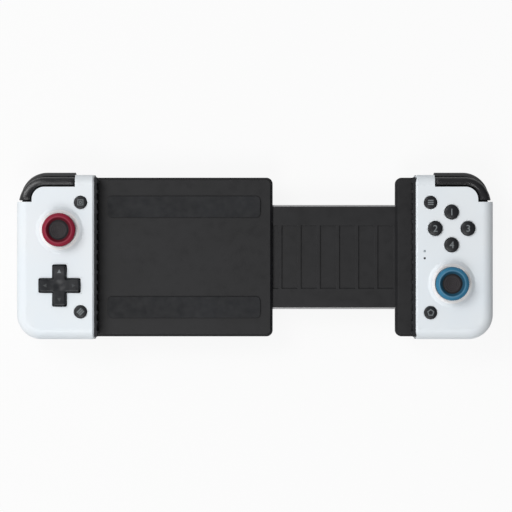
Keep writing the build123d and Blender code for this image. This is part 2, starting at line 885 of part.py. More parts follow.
left = -1
right = 1
left_stick = (-inner_x - left_control_line, left_stick_y)
right_stick = (inner_x + right_control_line, right_stick_y)
dpad_place = (-inner_x - left_control_line, dpad_y)
face_centre = (inner_x + right_control_line, face_buttons_y)
face_places = {
    "face_button_top": (face_centre[0], face_centre[1] + face_button_pitch),
    "face_button_left": (face_centre[0] - face_button_pitch, face_centre[1]),
    "face_button_right": (face_centre[0] + face_button_pitch, face_centre[1]),
    "face_button_bottom": (face_centre[0], face_centre[1] - face_button_pitch),
}
small_places = {
    "left_upper_button": (-inner_x - left_small_button_line, top_y - left_upper_button_from_top),
    "left_lower_button": (-inner_x - left_small_button_line, bottom_y + left_lower_button_from_bottom),
    "right_upper_button": (inner_x + right_small_button_line, top_y - right_upper_button_from_top),
    "right_lower_button": (inner_x + right_small_button_line, bottom_y + right_lower_button_from_bottom),
}
left_small = [small_places["left_upper_button"], small_places["left_lower_button"]]
right_small = [small_places["right_upper_button"], small_places["right_lower_button"]]
light_places = [(inner_x + light_line, light_upper_y), (inner_x + light_line, light_lower_y)]

# Shells
name_part(front_shell(left, left_stick, [], left_small, [], [dpad_place]), "left_front_shell")
face_rounds = list(face_places.values())
name_part(front_shell(right, right_stick, face_rounds, right_small, light_places, []), "right_front_shell")
name_part(back_shell(left), "left_back_shell")
name_part(back_shell(right), "right_back_shell")

# What each grip holds on its own side
for side, hand, stick in ((left, "left", left_stick), (right, "right", right_stick)):
    name_part(shoulder_bracket(side), f"{hand}_shoulder_bracket")
    name_part(trigger_pin(side), f"{hand}_trigger_pin")
    name_part(bumper(side), f"{hand}_bumper")
    name_part(trigger(side), f"{hand}_trigger")
    name_part(stick_module(stick), f"{hand}_stick_module")
    name_part(stick_cradle(stick), f"{hand}_stick_cradle")
    name_part(stick_yoke(stick), f"{hand}_stick_yoke")
    name_part(stick_cap(stick), f"{hand}_stick_cap")
    name_part(stick_ring(stick), f"{hand}_stick_ring")
    name_part(circuit_board(side, stick), f"{hand}_board")
    name_part(grip_screws(side), f"{hand}_grip_screws")
    name_part(end_rubber(side), f"{hand}_end_pad")

# Buttons and their domes
for name, place in face_places.items():
    name_part(push_button(place, face_button_radius, face_button_proud, button_edge), name)
for name, place in small_places.items():
    name_part(push_button(place, small_button_radius, small_button_proud, 0), name)
for hand, small in (("left", left_small), ("right", right_small)):
    name_part(dome_sheet(small, small_sheet_width, 0, small, button_dome_height), f"{hand}_button_domes")
name_part(
    dome_sheet([face_centre], cross_sheet_width, cross_sheet_turn, face_rounds, button_dome_height),
    "face_button_membrane",
)
dpad_keys = [
    (dpad_place[0] + dpad_key_orbit, dpad_place[1]),
    (dpad_place[0] - dpad_key_orbit, dpad_place[1]),
    (dpad_place[0], dpad_place[1] + dpad_key_orbit),
    (dpad_place[0], dpad_place[1] - dpad_key_orbit),
]
name_part(
    dome_sheet([dpad_place], cross_sheet_width, cross_sheet_turn, dpad_keys, dpad_dome_height),
    "dpad_membrane",
)

# The cross rocks on a ball that stands on its rubber sheet
disc_top = face_z - dpad_disc_below_face
disc_bottom = disc_top - dpad_disc
ball_z = disc_bottom - dpad_ball_seat + dpad_ball_gap
pivot_foot = board_top + sheet_thickness + dpad_pivot_foot_gap
with BuildPart() as dpad_pivot:
    with BuildSketch(upright_plane(dpad_place)):
        with BuildLine():
            Polyline(
                (0, pivot_foot), (dpad_pivot_foot_radius, pivot_foot), (dpad_ball_radius, ball_z),
                (dpad_pivot_foot_radius, ball_z + dpad_ball_radius - dpad_ball_seat),
                (0, ball_z + dpad_ball_radius),
                close=True,
            )
        make_face()
    revolve(axis=Axis((*dpad_place, 0), (0, 0, 1)))
name_part(dpad_pivot.part, "dpad_pivot")

with BuildPart() as dpad:
    with BuildSketch(Plane.XY.offset(disc_top)):
        with Locations(dpad_place):
            Rectangle(dpad_length, dpad_arm)
            Rectangle(dpad_arm, dpad_length)
    extrude(amount=face_z + dpad_proud - disc_top)
    arm_end = dpad_length / 2 - pick_tolerance
    corners = [(e, e.center()) for e in dpad.edges().filter_by(Axis.Z)]
    outer_corners = [
        e for e, c in corners if max(abs(c.X - dpad_place[0]), abs(c.Y - dpad_place[1])) > arm_end
    ]
    chamfer(outer_corners, length=dpad_corner)
    chamfer(dpad.faces().sort_by(Axis.Z)[-1].edges(), length=dpad_edge)
    with Locations((*dpad_place, face_z + dpad_proud - dpad_dish_depth)):
        Cone(
            dpad_dish_radius - dpad_dish_depth, dpad_dish_radius, dpad_dish_depth,
            align=low_centre, mode=Mode.SUBTRACT,
        )
    with BuildSketch(Plane.XY.offset(disc_bottom)):
        with Locations(dpad_place):
            RegularPolygon(dpad_disc_radius, hidden_sides)
    extrude(amount=dpad_disc)
    with BuildSketch(Plane.XY.offset(disc_bottom)):
        with Locations(*dpad_keys):
            RegularPolygon(dpad_key_radius, dome_sides)
    extrude(amount=-dpad_key_length)
    with BuildSketch(Plane.XY.offset(disc_bottom)):
        with Locations(dpad_place):
            Circle(dpad_ball_radius + dpad_ball_gap)
    extrude(amount=dpad_ball_radius - dpad_ball_seat + 2 * dpad_ball_gap, mode=Mode.SUBTRACT)
name_part(dpad.part, "dpad")

# Status lights
with BuildPart() as light_pipes:
    with BuildSketch(Plane.XY.offset(board_top + light_foot_gap)):
        with Locations(*light_places):
            RegularPolygon(light_radius, light_sides)
    extrude(amount=face_z - board_top - light_foot_gap)
name_part(light_pipes.part, "light_pipes")

# Battery on the floor of the left grip
with BuildPart() as battery:
    with BuildSketch(Plane.XY.offset(part_z - lower_pocket_depth)):
        with Locations((-inner_x - battery_line, middle_y - battery_below_middle)):
            RectangleRounded(battery_width, battery_length, battery_corner)
    extrude(amount=battery_thickness)
name_part(battery.part, "battery")

# Charging socket under the right board
with BuildPart() as charging_socket:
    socket_z = board_z - socket_height / 2
    socket_front = -bottom_y - socket_recess
    with BuildSketch(Plane.XZ.offset(socket_front)):
        with Locations((inner_x + socket_line, socket_z)):
            SlotOverall(socket_width, socket_height)
            SlotOverall(socket_width - 2 * socket_shell, socket_height - 2 * socket_shell, mode=Mode.SUBTRACT)
    extrude(amount=-socket_depth)
    with BuildSketch(Plane.XZ.offset(socket_front - socket_depth)):
        with Locations((inner_x + socket_line, socket_z)):
            SlotOverall(socket_width, socket_height)
    extrude(amount=socket_back)
    with BuildSketch(Plane.XZ.offset(socket_front - socket_depth)):
        with Locations((inner_x + socket_line, socket_z)):
            Rectangle(socket_tongue_width, socket_tongue)
    extrude(amount=socket_depth - socket_recess)
name_part(charging_socket.part, "charging_socket")

# Sleeve of the bridge, on the left grip
tray_screw_places = [
    (x, middle_y + up * (tray_height / 2 - tray_screw_from_edge))
    for x in (-inner_x + tray_screw_from_end, tray_end_x - tray_screw_from_end)
    for up in (-1, 1)
]
with BuildPart() as tray_deck:
    with BuildSketch(Plane.YZ.offset(-inner_x)):
        add(tray_section(sleeve_bottom, tray_top, sleeve_half, sleeve_bottom, sleeve_top))
    extrude(amount=tray_length)
    end_edges = tray_deck.edges().filter_by(Axis.Z).group_by(Axis.X)[-1].sort_by(Axis.Y)
    fillet([end_edges[0], end_edges[-1]], radius=tray_corner_radius)
    upper = tray_deck.faces().sort_by(Axis.Z)[-1].edges()
    chamfer(upper.filter_by(Axis.X), length=tray_edge)
    with BuildSketch(Plane.YZ.offset(-inner_x)):
        with Locations((middle_y, (sleeve_bottom + tray_top) / 2)):
            Rectangle(2 * root_half, tray_top - sleeve_bottom)
        with Locations((middle_y, (sleeve_bottom + sleeve_top) / 2)):
            Rectangle(2 * sleeve_half, sleeve_top - sleeve_bottom, mode=Mode.SUBTRACT)
    extrude(amount=-bridge_root)
    with BuildSketch(Plane.XY.offset(sleeve_bottom)):
        with Locations(*tray_screw_places):
            RegularPolygon(screw_radius, screw_sides)
    extrude(amount=tray_screw_length - cover_thickness + tray_screw_head, mode=Mode.SUBTRACT)
name_part(tray_deck.part, "tray_deck")

with BuildPart() as tray_cover:
    with BuildSketch(Plane.YZ.offset(-inner_x)):
        with Locations((middle_y, (tray_bottom + sleeve_bottom) / 2)):
            Rectangle(tray_height, cover_thickness)
    extrude(amount=tray_length)
    fillet(tray_cover.edges().filter_by(Axis.Z).group_by(Axis.X)[-1], radius=tray_corner_radius)
    lower = tray_cover.faces().sort_by(Axis.Z)[0].edges()
    chamfer(lower.filter_by(Axis.X), length=tray_edge)
    with BuildSketch(Plane.YZ.offset(-inner_x)):
        with Locations((middle_y, (tray_bottom + sleeve_bottom) / 2)):
            Rectangle(2 * root_half, cover_thickness)
    extrude(amount=-bridge_root)
    with BuildSketch(Plane.XY.offset(tray_bottom)):
        with Locations(*tray_screw_places):
            RegularPolygon(screw_head_radius + screw_clearance, screw_head_sides)
    extrude(amount=tray_screw_head, mode=Mode.SUBTRACT)
    with BuildSketch(Plane.XY.offset(tray_bottom)):
        with Locations(*tray_screw_places):
            RegularPolygon(screw_radius + screw_clearance, screw_sides)
    extrude(amount=cover_thickness, mode=Mode.SUBTRACT)
name_part(tray_cover.part, "tray_cover")

with BuildPart() as tray_screws:
    with BuildSketch(Plane.XY.offset(tray_bottom + tray_screw_head)):
        with Locations(*tray_screw_places):
            RegularPolygon(screw_head_radius, screw_head_sides)
    extrude(amount=-tray_screw_head)
    with BuildSketch(Plane.XY.offset(tray_bottom + tray_screw_head)):
        with Locations(*tray_screw_places):
            RegularPolygon(screw_radius, screw_sides)
    extrude(amount=tray_screw_length)
name_part(tray_screws.part, "tray_screws")

# Rubber strips that the phone's back lies on
with BuildPart() as tray_pads:
    strip_length = tray_length - 2 * tray_pad_end_margin
    with BuildSketch(Plane.XY.offset(tray_top)):
        with Locations((tray_end_x - tray_length / 2, middle_y)):
            with GridLocations(0, tray_height - 2 * tray_pad_from_edge - tray_pad_width, 1, 2):
                RectangleRounded(strip_length, tray_pad_width, tray_pad_corner)
    extrude(amount=tray_pad_thickness)
name_part(tray_pads.part, "tray_pads")

# Slider, fixed to the right grip
slider_end = inner_x + bridge_root
plate_half = slider_width / 2 - slider_rail_width
with BuildPart() as slider_plate:
    with BuildSketch(Plane.YZ.offset(slider_start)):
        with Locations((middle_y, (slider_bottom + slider_top) / 2)):
            Rectangle(2 * plate_half, slider_thickness)
        with Locations(
            (middle_y - spring_line, slider_bottom + spring_channel_depth / 2),
            (middle_y + spring_line, slider_bottom + spring_channel_depth / 2),
        ):
            Rectangle(spring_channel_width, spring_channel_depth, mode=Mode.SUBTRACT)
        with Locations((middle_y, slider_bottom + ribbon_channel_depth / 2)):
            Rectangle(ribbon_channel_width, ribbon_channel_depth, mode=Mode.SUBTRACT)
    extrude(amount=slider_end - slider_start)
    window_pitch = (inner_x - tray_end_length - slider_start) / slider_window_count
    with BuildSketch(Plane.XY.offset(slider_top)):
        with Locations(((slider_start + inner_x - tray_end_length) / 2, middle_y)):
            with GridLocations(window_pitch, 0, slider_window_count, 1):
                Rectangle(window_pitch - slider_rib_width, 2 * (plate_half - slider_window_margin))
    extrude(amount=-slider_window_depth, mode=Mode.SUBTRACT)
name_part(slider_plate.part, "slider_plate")

with BuildPart() as slider_rails:
    with BuildSketch(Plane.YZ.offset(slider_start)):
        with Locations((middle_y, (slider_bottom + slider_top) / 2)):
            with GridLocations(slider_width - slider_rail_width, 0, 2, 1):
                Rectangle(slider_rail_width, slider_rail_height)
    extrude(amount=slider_end - slider_start)
name_part(slider_rails.part, "slider_rails")

# Return springs, hooked to the left end of the sleeve and to the slider
with BuildPart() as bridge_springs:
    spring_start = -inner_x - bridge_root + spring_end_gap
    with BuildSketch(Plane.YZ.offset(spring_start)):
        with Locations((middle_y, slider_bottom + spring_channel_depth / 2)):
            with GridLocations(2 * spring_line, 0, 2, 1):
                RegularPolygon(spring_radius, spring_sides)
    extrude(amount=spring_reach)
name_part(bridge_springs.part, "bridge_springs")

# Flat cable, one run on the sleeve's floor and one in the slider's channel
with BuildPart() as tray_ribbon:
    ribbon_start = -inner_x - bridge_root
    with BuildSketch(Plane.XY.offset(sleeve_bottom)):
        with Locations(((ribbon_start + slider_start - ribbon_end_gap) / 2, middle_y)):
            Rectangle(slider_start - ribbon_end_gap - ribbon_start, ribbon_width)
    extrude(amount=ribbon_thickness)
name_part(tray_ribbon.part, "tray_ribbon")

with BuildPart() as slider_ribbon:
    with BuildSketch(Plane.XY.offset(slider_bottom + ribbon_channel_depth)):
        with Locations(((slider_start + slider_end) / 2, middle_y)):
            Rectangle(slider_end - slider_start, ribbon_width)
    extrude(amount=-ribbon_thickness)
name_part(slider_ribbon.part, "slider_ribbon")

# Short tray on the right grip, through which the slider passes
with BuildPart() as right_tray_end:
    with BuildSketch(Plane.YZ.offset(inner_x)):
        with Locations((middle_y, (tray_bottom + tray_top) / 2)):
            Rectangle(tray_height, tray_thickness)
    extrude(amount=-tray_end_length)
    fillet(right_tray_end.edges().filter_by(Axis.Z).group_by(Axis.X)[0], radius=tray_corner_radius)
    chamfer(right_tray_end.edges().filter_by(Axis.X), length=tray_edge)
    with BuildSketch(Plane.YZ.offset(inner_x)):
        with Locations((middle_y, (tray_bottom + tray_top) / 2)):
            Rectangle(2 * root_half, tray_thickness)
    extrude(amount=bridge_root)
    with BuildSketch(Plane.YZ.offset(inner_x + bridge_root)):
        with Locations((middle_y, (slider_bottom + slider_top) / 2)):
            Rectangle(slider_width, slider_thickness)
    extrude(amount=-bridge_root - tray_end_length, mode=Mode.SUBTRACT)
name_part(right_tray_end.part, "right_tray_end")
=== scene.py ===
import bpy
import bmesh
from math import copysign, cos, pi, radians, sin, tau
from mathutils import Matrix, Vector


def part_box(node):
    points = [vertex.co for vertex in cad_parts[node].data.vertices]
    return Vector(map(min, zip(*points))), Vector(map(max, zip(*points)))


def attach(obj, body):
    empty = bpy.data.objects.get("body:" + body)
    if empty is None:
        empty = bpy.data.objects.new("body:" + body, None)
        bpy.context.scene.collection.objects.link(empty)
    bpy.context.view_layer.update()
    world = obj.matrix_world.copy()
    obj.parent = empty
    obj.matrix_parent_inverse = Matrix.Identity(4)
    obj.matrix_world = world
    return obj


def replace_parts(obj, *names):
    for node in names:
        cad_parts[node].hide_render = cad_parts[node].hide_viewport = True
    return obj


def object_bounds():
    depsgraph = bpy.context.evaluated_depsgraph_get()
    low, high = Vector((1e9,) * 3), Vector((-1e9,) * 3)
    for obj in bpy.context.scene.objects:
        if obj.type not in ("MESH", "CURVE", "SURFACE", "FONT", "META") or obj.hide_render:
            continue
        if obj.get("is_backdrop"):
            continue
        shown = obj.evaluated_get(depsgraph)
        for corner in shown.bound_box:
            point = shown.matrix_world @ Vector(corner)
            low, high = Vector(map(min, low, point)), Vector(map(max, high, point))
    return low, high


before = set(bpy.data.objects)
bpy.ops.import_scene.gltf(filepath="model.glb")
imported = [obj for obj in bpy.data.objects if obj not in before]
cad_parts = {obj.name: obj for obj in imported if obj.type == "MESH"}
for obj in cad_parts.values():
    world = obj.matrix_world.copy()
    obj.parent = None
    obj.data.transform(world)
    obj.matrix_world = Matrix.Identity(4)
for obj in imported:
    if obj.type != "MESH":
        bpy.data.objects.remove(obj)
cad_low, cad_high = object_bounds()
mm = 0.001

# The photograph is square and looks straight at the face, with this much of the scene across it. The lens and
# the sensor's width are in millimetres.
picture_width = 243.8 * mm
picture_centre = Vector((0.5 * mm, -0.33 * mm))
lens = 200.0
sensor = 36.0

# Plain colours, as linear values
shell_colour = (0.77, 0.825, 0.87)
shell_warm = (0.79, 0.83, 0.86)
collar_painted_light_colour = (0.97, 0.965, 0.97)
# Painted light on the shell round the sticks
seam_colour = (0.16, 0.17, 0.18)
# Near black for the painted shade on the triggers' inner edges, in the gap under the bumpers
painted_gap_shade_colour = (0.003, 0.003, 0.003)
bumper_colour = (0.008, 0.008, 0.0095)
trigger_colour = (0.07, 0.07, 0.072)
button_colour = (0.008, 0.009, 0.011)
rubber_colour = (0.006, 0.0065, 0.008)
tray_colour = (0.006, 0.006, 0.007)
red_colour = (0.28, 0.012, 0.036)
blue_colour = (0.035, 0.19, 0.33)
dish_colour = (0.022, 0.019, 0.021)
socket_black = (0.006, 0.005, 0.006)
mark_colour = (0.20, 0.22, 0.23)
steel_colour = (0.55, 0.55, 0.56)
board_colour = (0.012, 0.09, 0.045)
dome_colour = (0.42, 0.42, 0.40)
film_colour = (0.10, 0.038, 0.012)
battery_colour = (0.30, 0.31, 0.34)
light_colour = (0.35, 0.42, 0.45)
dark_light_colour = (0.03, 0.034, 0.036)
dark_light_tint = (0.04, 0.044, 0.046)
inner_colour = (0.02, 0.02, 0.022)
inner_tint = (0.03, 0.03, 0.032)
gold_colour = (0.75, 0.5, 0.2)
paper_colour = (0.7, 0.7, 0.7)

part_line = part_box("left_back_shell")[1].z
stipple_heights = (9 * mm, 14 * mm)    # Full below the first height, gone above the second
lever_corner = 12.95 * mm    # Outer corner radius of the triggers
lever_strip = 1.75 * mm      # Width of the trigger's grey strip outside its painted shade edge
rim_shade_radius = 5.85 * mm       # Inside this radius the rubber rims are painted darker, a painted shade on the inner slope
crest_highlight_radius = 6.25 * mm    # Radius of the painted highlight line along the crests of the rims
collar_painted_light_radius = 9.7 * mm     # Outer radius of the painted light on the collars round the sticks


# Materials

def new_material(name):
    """An empty node material with a Principled shader, and its tree."""
    material = bpy.data.materials.new(name)
    material.use_nodes = True
    tree = material.node_tree
    tree.nodes.clear()
    output = tree.nodes.new("ShaderNodeOutputMaterial")
    shader = tree.nodes.new("ShaderNodeBsdfPrincipled")
    tree.links.new(shader.outputs["BSDF"], output.inputs["Surface"])
    return material, tree, shader


def shader_of(material):
    """The Principled shader of a material made here."""
    return material.node_tree.nodes["Principled BSDF"]


def place_in_frame(tree, stretch=(1, 1, 1)):
    """The surface point in the part's own frame, stretched along the axes."""
    place = tree.nodes.new("ShaderNodeTexCoord")
    mapping = tree.nodes.new("ShaderNodeMapping")
    mapping.inputs["Scale"].default_value = stretch
    tree.links.new(place.outputs["Object"], mapping.inputs["Vector"])
    return mapping.outputs["Vector"]


def noise(tree, where, scale, detail=3.0, rough=0.5):
    """A noise value from 0 to 1."""
    node = tree.nodes.new("ShaderNodeTexNoise")
    node.inputs["Scale"].default_value = scale
    node.inputs["Detail"].default_value = detail
    node.inputs["Roughness"].default_value = rough
    tree.links.new(where, node.inputs["Vector"])
    return node.outputs["Fac"]


def spread(tree, value, low, high, to_low, to_high):
    """Maps a value's range onto another, held at its ends."""
    node = tree.nodes.new("ShaderNodeMapRange")
    node.inputs["From Min"].default_value = low
    node.inputs["From Max"].default_value = high
    node.inputs["To Min"].default_value = to_low
    node.inputs["To Max"].default_value = to_high
    tree.links.new(value, node.inputs["Value"])
    return node.outputs["Result"]


def mix_colours(tree, factor, first, second):
    """Blends two colours, each a value or a socket, by a factor socket."""
    node = tree.nodes.new("ShaderNodeMix")
    node.data_type = "RGBA"
    tree.links.new(factor, node.inputs["Factor"])
    for colour, socket in ((first, node.inputs["A"]), (second, node.inputs["B"])):
        if isinstance(colour, tuple):
            socket.default_value = (*colour, 1.0)
        else:
            tree.links.new(colour, socket)
    return node.outputs["Result"]


def bump(tree, height, distance, strength, under=None):
    """Surface relief from a height, over another relief if there is one."""
    node = tree.nodes.new("ShaderNodeBump")
    node.inputs["Distance"].default_value = distance
    node.inputs["Strength"].default_value = strength
    tree.links.new(height, node.inputs["Height"])
    if under is not None:
        tree.links.new(under, node.inputs["Normal"])
    return node.outputs["Normal"]


def math_node(tree, operation, first, second=None):
    """One sum on a value, with a second value or number where it takes one."""
    node = tree.nodes.new("ShaderNodeMath")
    node.operation = operation
    for value, socket in ((first, node.inputs[0]), (second, node.inputs[1])):
        if value is None:
            continue
        if isinstance(value, (int, float)):
            socket.default_value = value
        else:
            tree.links.new(value, socket)
    return node.outputs["Value"]


def distance_from(tree, where, centre):
    """How far a surface point lies from an upright line through a centre."""
    offset = tree.nodes.new("ShaderNodeVectorMath")
    offset.operation = "SUBTRACT"
    offset.inputs[1].default_value = (centre.x, centre.y, 0)
    tree.links.new(where, offset.inputs[0])
    flat = tree.nodes.new("ShaderNodeVectorMath")
    flat.operation = "MULTIPLY"
    flat.inputs[1].default_value = (1, 1, 0)
    tree.links.new(offset.outputs["Vector"], flat.inputs[0])
    length = tree.nodes.new("ShaderNodeVectorMath")
    length.operation = "LENGTH"
    tree.links.new(flat.outputs["Vector"], length.inputs[0])
    return length.outputs["Value"]


def soft_edges(tree, radius):
    """The surface's normal with its sharp edges rounded off."""
    node = tree.nodes.new("ShaderNodeBevel")
    node.samples = 5
    node.inputs["Radius"].default_value = radius
    return node.outputs["Normal"]


def worn_edges(tree, rounded):
    """Rises where the rounded normal leaves the surface's own, on edges that hands rub."""
    geometry = tree.nodes.new("ShaderNodeNewGeometry")
    along = tree.nodes.new("ShaderNodeVectorMath")
    along.operation = "DOT_PRODUCT"
    tree.links.new(rounded, along.inputs[0])
    tree.links.new(geometry.outputs["Normal"], along.inputs[1])
    return spread(tree, along.outputs["Value"], 0.7, 0.98, 1.0, 0.0)


def moulded(name, colour, tint, roughness, grain, depth, edge=None, tint_scale=60.0, edge_radius=0.25 * mm,
            specular=0.35):
    """Moulded plastic or rubber: fine grain, cloudy colour, uneven sheen and soft, rubbed edges."""
    material, tree, shader = new_material(name)
    where = place_in_frame(tree)
    rounded = soft_edges(tree, edge_radius)
    cloud = spread(tree, noise(tree, where, tint_scale, 4.0), 0.3, 0.7, 0.0, 1.0)
    base = mix_colours(tree, cloud, colour, tint)
    if edge is not None:
        base = mix_colours(tree, worn_edges(tree, rounded), base, edge)
    tree.links.new(base, shader.inputs["Base Color"])
    sheen = spread(tree, noise(tree, where, 4 * tint_scale, 5.0), 0.3, 0.7, roughness[0], roughness[1])
    tree.links.new(sheen, shader.inputs["Roughness"])
    fine = noise(tree, where, grain, 2.0, 0.7)
    tree.links.new(bump(tree, fine, depth, 0.5, rounded), shader.inputs["Normal"])
    shader.inputs["Specular IOR Level"].default_value = specular
    return material


def lever_plastic(name, side):
    """Trigger plastic with painted shade along its inner edge beside the bumper, standing in for the shadowed gap
    under the bumper, along the straight and round the corner.
    """
    material = moulded(name, trigger_colour, tinted(trigger_colour, 1.15), roughness=(0.42, 0.55), grain=1500.0,
                       depth=0.03 * mm, edge=tinted(trigger_colour, 1.8), specular=0.12)
    tree, shader = material.node_tree, shader_of(material)
    low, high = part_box("left_trigger" if side < 0 else "right_trigger")
    separate = tree.nodes.new("ShaderNodeSeparateXYZ")
    tree.links.new(place_in_frame(tree), separate.inputs["Vector"])
    corner_x = max(abs(low.x), abs(high.x)) - lever_corner
    outward = math_node(tree, "SUBTRACT", math_node(tree, "MULTIPLY", separate.outputs["X"], side), corner_x)
    upward = math_node(tree, "SUBTRACT", separate.outputs["Y"], high.y - lever_corner)
    outward = math_node(tree, "MAXIMUM", outward, 0.0)
    upward = math_node(tree, "MAXIMUM", upward, 0.0)
    squares = [math_node(tree, "POWER", value, 2.0) for value in (outward, upward)]
    reach = math_node(tree, "SQRT", math_node(tree, "ADD", *squares))
    edge = lever_corner - lever_strip
    # Painted shade: a near-black band on the trigger's inner edge stands in for the shadow in the gap under the
    # bumper
    inner = spread(tree, reach, edge - 0.1 * mm, edge + 0.1 * mm, 1.0, 0.0)
    base = shader.inputs["Base Color"].links[0].from_socket
    tree.links.new(mix_colours(tree, inner, base, painted_gap_shade_colour), shader.inputs["Base Color"])
    return material


def shell_plastic():
    """White moulded shell: fine spark texture, a parting line, painted light round the sticks, and a grippy
    stipple low on the back.
    """
    material, tree, shader = new_material("white_shell")
    where = place_in_frame(tree)
    separate = tree.nodes.new("ShaderNodeSeparateXYZ")
    tree.links.new(where, separate.inputs["Vector"])
    height = separate.outputs["Z"]
    cloud = spread(tree, noise(tree, where, 35.0, 4.0), 0.35, 0.65, 0.0, 1.0)
    base = mix_colours(tree, cloud, shell_colour, shell_warm)
    # Painted light: the shell is coloured brighter round each stick, lifting the shade that the stick casts on
    # its collar
    for centre in (left_stick, right_stick):
        radius = distance_from(tree, where, centre)
        collar = spread(tree, radius, collar_painted_light_radius - 0.3 * mm, collar_painted_light_radius, 1.0, 0.0)
        base = mix_colours(tree, collar, base, collar_painted_light_colour)
    # Thin shadow gap where the two halves meet
    from_line = math_node(tree, "ABSOLUTE", math_node(tree, "SUBTRACT", height, part_line))
    line = spread(tree, from_line, 0.08 * mm, 0.16 * mm, 1.0, 0.0)
    base = mix_colours(tree, line, base, seam_colour)
    tree.links.new(base, shader.inputs["Base Color"])
    sheen = spread(tree, noise(tree, where, 180.0, 5.0), 0.3, 0.7, 0.36, 0.48)
    tree.links.new(sheen, shader.inputs["Roughness"])
    spark = noise(tree, where, 2600.0, 2.0, 0.6)
    relief = bump(tree, spark, 0.02 * mm, 0.35, soft_edges(tree, 0.3 * mm))
    # Stipple of small round dots that fades out towards the parting line
    cells = tree.nodes.new("ShaderNodeTexVoronoi")
    cells.inputs["Scale"].default_value = 900.0
    tree.links.new(where, cells.inputs["Vector"])
    dots = spread(tree, cells.outputs["Distance"], 0.15, 0.5, 1.0, 0.0)
    low_down = spread(tree, height, *stipple_heights, 1.0, 0.0)
    stipple = math_node(tree, "MULTIPLY", dots, low_down)
    tree.links.new(bump(tree, stipple, 0.12 * mm, 0.8, relief), shader.inputs["Normal"])
    shader.inputs["Specular IOR Level"].default_value = 0.5
    return material


def ringed_rubber(name, colour, tint, centre, pitch, shaded_within=0.0, highlight_amount=0.0):
    """Soft rubber with fine moulded rings about a centre, painted darker inside a radius as painted shade and
    paler on a crest as a painted highlight.
    """
    material, tree, shader = new_material(name)
    where = place_in_frame(tree)
    radius = distance_from(tree, where, centre)
    wave = math_node(tree, "SINE", math_node(tree, "MULTIPLY", radius, tau / pitch))
    cloud = spread(tree, noise(tree, where, 300.0, 4.0), 0.3, 0.7, 0.0, 1.0)
    # Painted shade: inside the given radius the colour is darkened
    inside = spread(tree, radius, shaded_within - 0.2 * mm, shaded_within + 0.2 * mm, 1.0, 0.0)
    base = mix_colours(tree, inside, mix_colours(tree, cloud, colour, tint), tinted(colour, 0.36))
    # Painted highlight: a paler line along the crest radius
    from_crest = math_node(tree, "ABSOLUTE", math_node(tree, "SUBTRACT", radius, crest_highlight_radius))
    rubbed = spread(tree, from_crest, 0.05 * mm, 0.4 * mm, highlight_amount, 0.0)
    paler = tuple(0.65 * c + 0.22 for c in colour)
    tree.links.new(mix_colours(tree, rubbed, base, paler), shader.inputs["Base Color"])
    sheen = spread(tree, noise(tree, where, 700.0, 4.0), 0.3, 0.7, 0.5, 0.68)
    tree.links.new(sheen, shader.inputs["Roughness"])
    grain = bump(tree, noise(tree, where, 3000.0, 2.0), 0.03 * mm, 0.5)
    tree.links.new(bump(tree, wave, 0.05 * mm, 0.6, grain), shader.inputs["Normal"])
    shader.inputs["Specular IOR Level"].default_value = 0.25
    return material


def brushed_metal(name, colour, stretch):
    """Metal with fine brush lines across the stretched axes."""
    material, tree, shader = new_material(name)
    lines = noise(tree, place_in_frame(tree, stretch), 900.0, 4.0)
    streaks = spread(tree, lines, 0.3, 0.7, 0.0, 1.0)
    tree.links.new(mix_colours(tree, streaks, colour, tinted(colour, 0.7)), shader.inputs["Base Color"])
    tree.links.new(spread(tree, lines, 0.3, 0.7, 0.24, 0.42), shader.inputs["Roughness"])
    tree.links.new(bump(tree, lines, 0.02 * mm, 0.4), shader.inputs["Normal"])
    shader.inputs["Metallic"].default_value = 1.0
    return material


def tinted(colour, factor):
    """The same colour, lighter or darker."""
    return tuple(factor * c for c in colour)


def centre_of(node):
    """Middle of a CAD node in plan, at its top."""
    low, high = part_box(node)
    return Vector(((low.x + high.x) / 2, (low.y + high.y) / 2, high.z))


left_stick = centre_of("left_stick_ring")
right_stick = centre_of("right_stick_ring")

shell = shell_plastic()
bumper = moulded("bumper_plastic", bumper_colour, tinted(bumper_colour, 1.25), roughness=(0.15, 0.22),
                 grain=1800.0, depth=0.01 * mm, edge_radius=2.3 * mm, specular=0.6)
left_trigger = lever_plastic("left_trigger_plastic", -1)
right_trigger = lever_plastic("right_trigger_plastic", 1)
button = moulded("button_plastic", button_colour, tinted(button_colour, 1.4), roughness=(0.28, 0.4),
                 grain=2200.0, depth=0.015 * mm, edge=tinted(button_colour, 2.2), tint_scale=200.0)
rubber = moulded("pad_rubber", rubber_colour, tinted(rubber_colour, 1.7), roughness=(0.55, 0.75), grain=1600.0,
                 depth=0.05 * mm, edge=tinted(rubber_colour, 3.0))
tray = moulded("tray_plastic", tray_colour, tinted(tray_colour, 1.5), roughness=(0.38, 0.52), grain=1300.0,
               depth=0.04 * mm, edge=tinted(tray_colour, 3.0))
inner_black = moulded("inner_plastic", inner_colour, inner_tint, roughness=(0.4, 0.55), grain=1300.0,
                      depth=0.03 * mm)
mark = moulded("mark_paint", mark_colour, tinted(mark_colour, 0.85), roughness=(0.4, 0.5), grain=2500.0,
               depth=0.01 * mm)
faint_mark = moulded("faint_mark_paint", tinted(mark_colour, 0.25), tinted(mark_colour, 0.2),
                     roughness=(0.35, 0.45), grain=2500.0, depth=0.01 * mm)
rim_pitch, dish_pitch = 0.55 * mm, 0.8 * mm
red_ring = ringed_rubber("red_rubber", red_colour, tinted(red_colour, 0.85), left_stick, rim_pitch,
                         shaded_within=rim_shade_radius, highlight_amount=0.16)
blue_ring = ringed_rubber("blue_rubber", blue_colour, tinted(blue_colour, 0.85), right_stick, rim_pitch,
                          shaded_within=rim_shade_radius, highlight_amount=0.32)
left_dish = ringed_rubber("left_dish_rubber", dish_colour, tinted(dish_colour, 1.3), left_stick, dish_pitch)
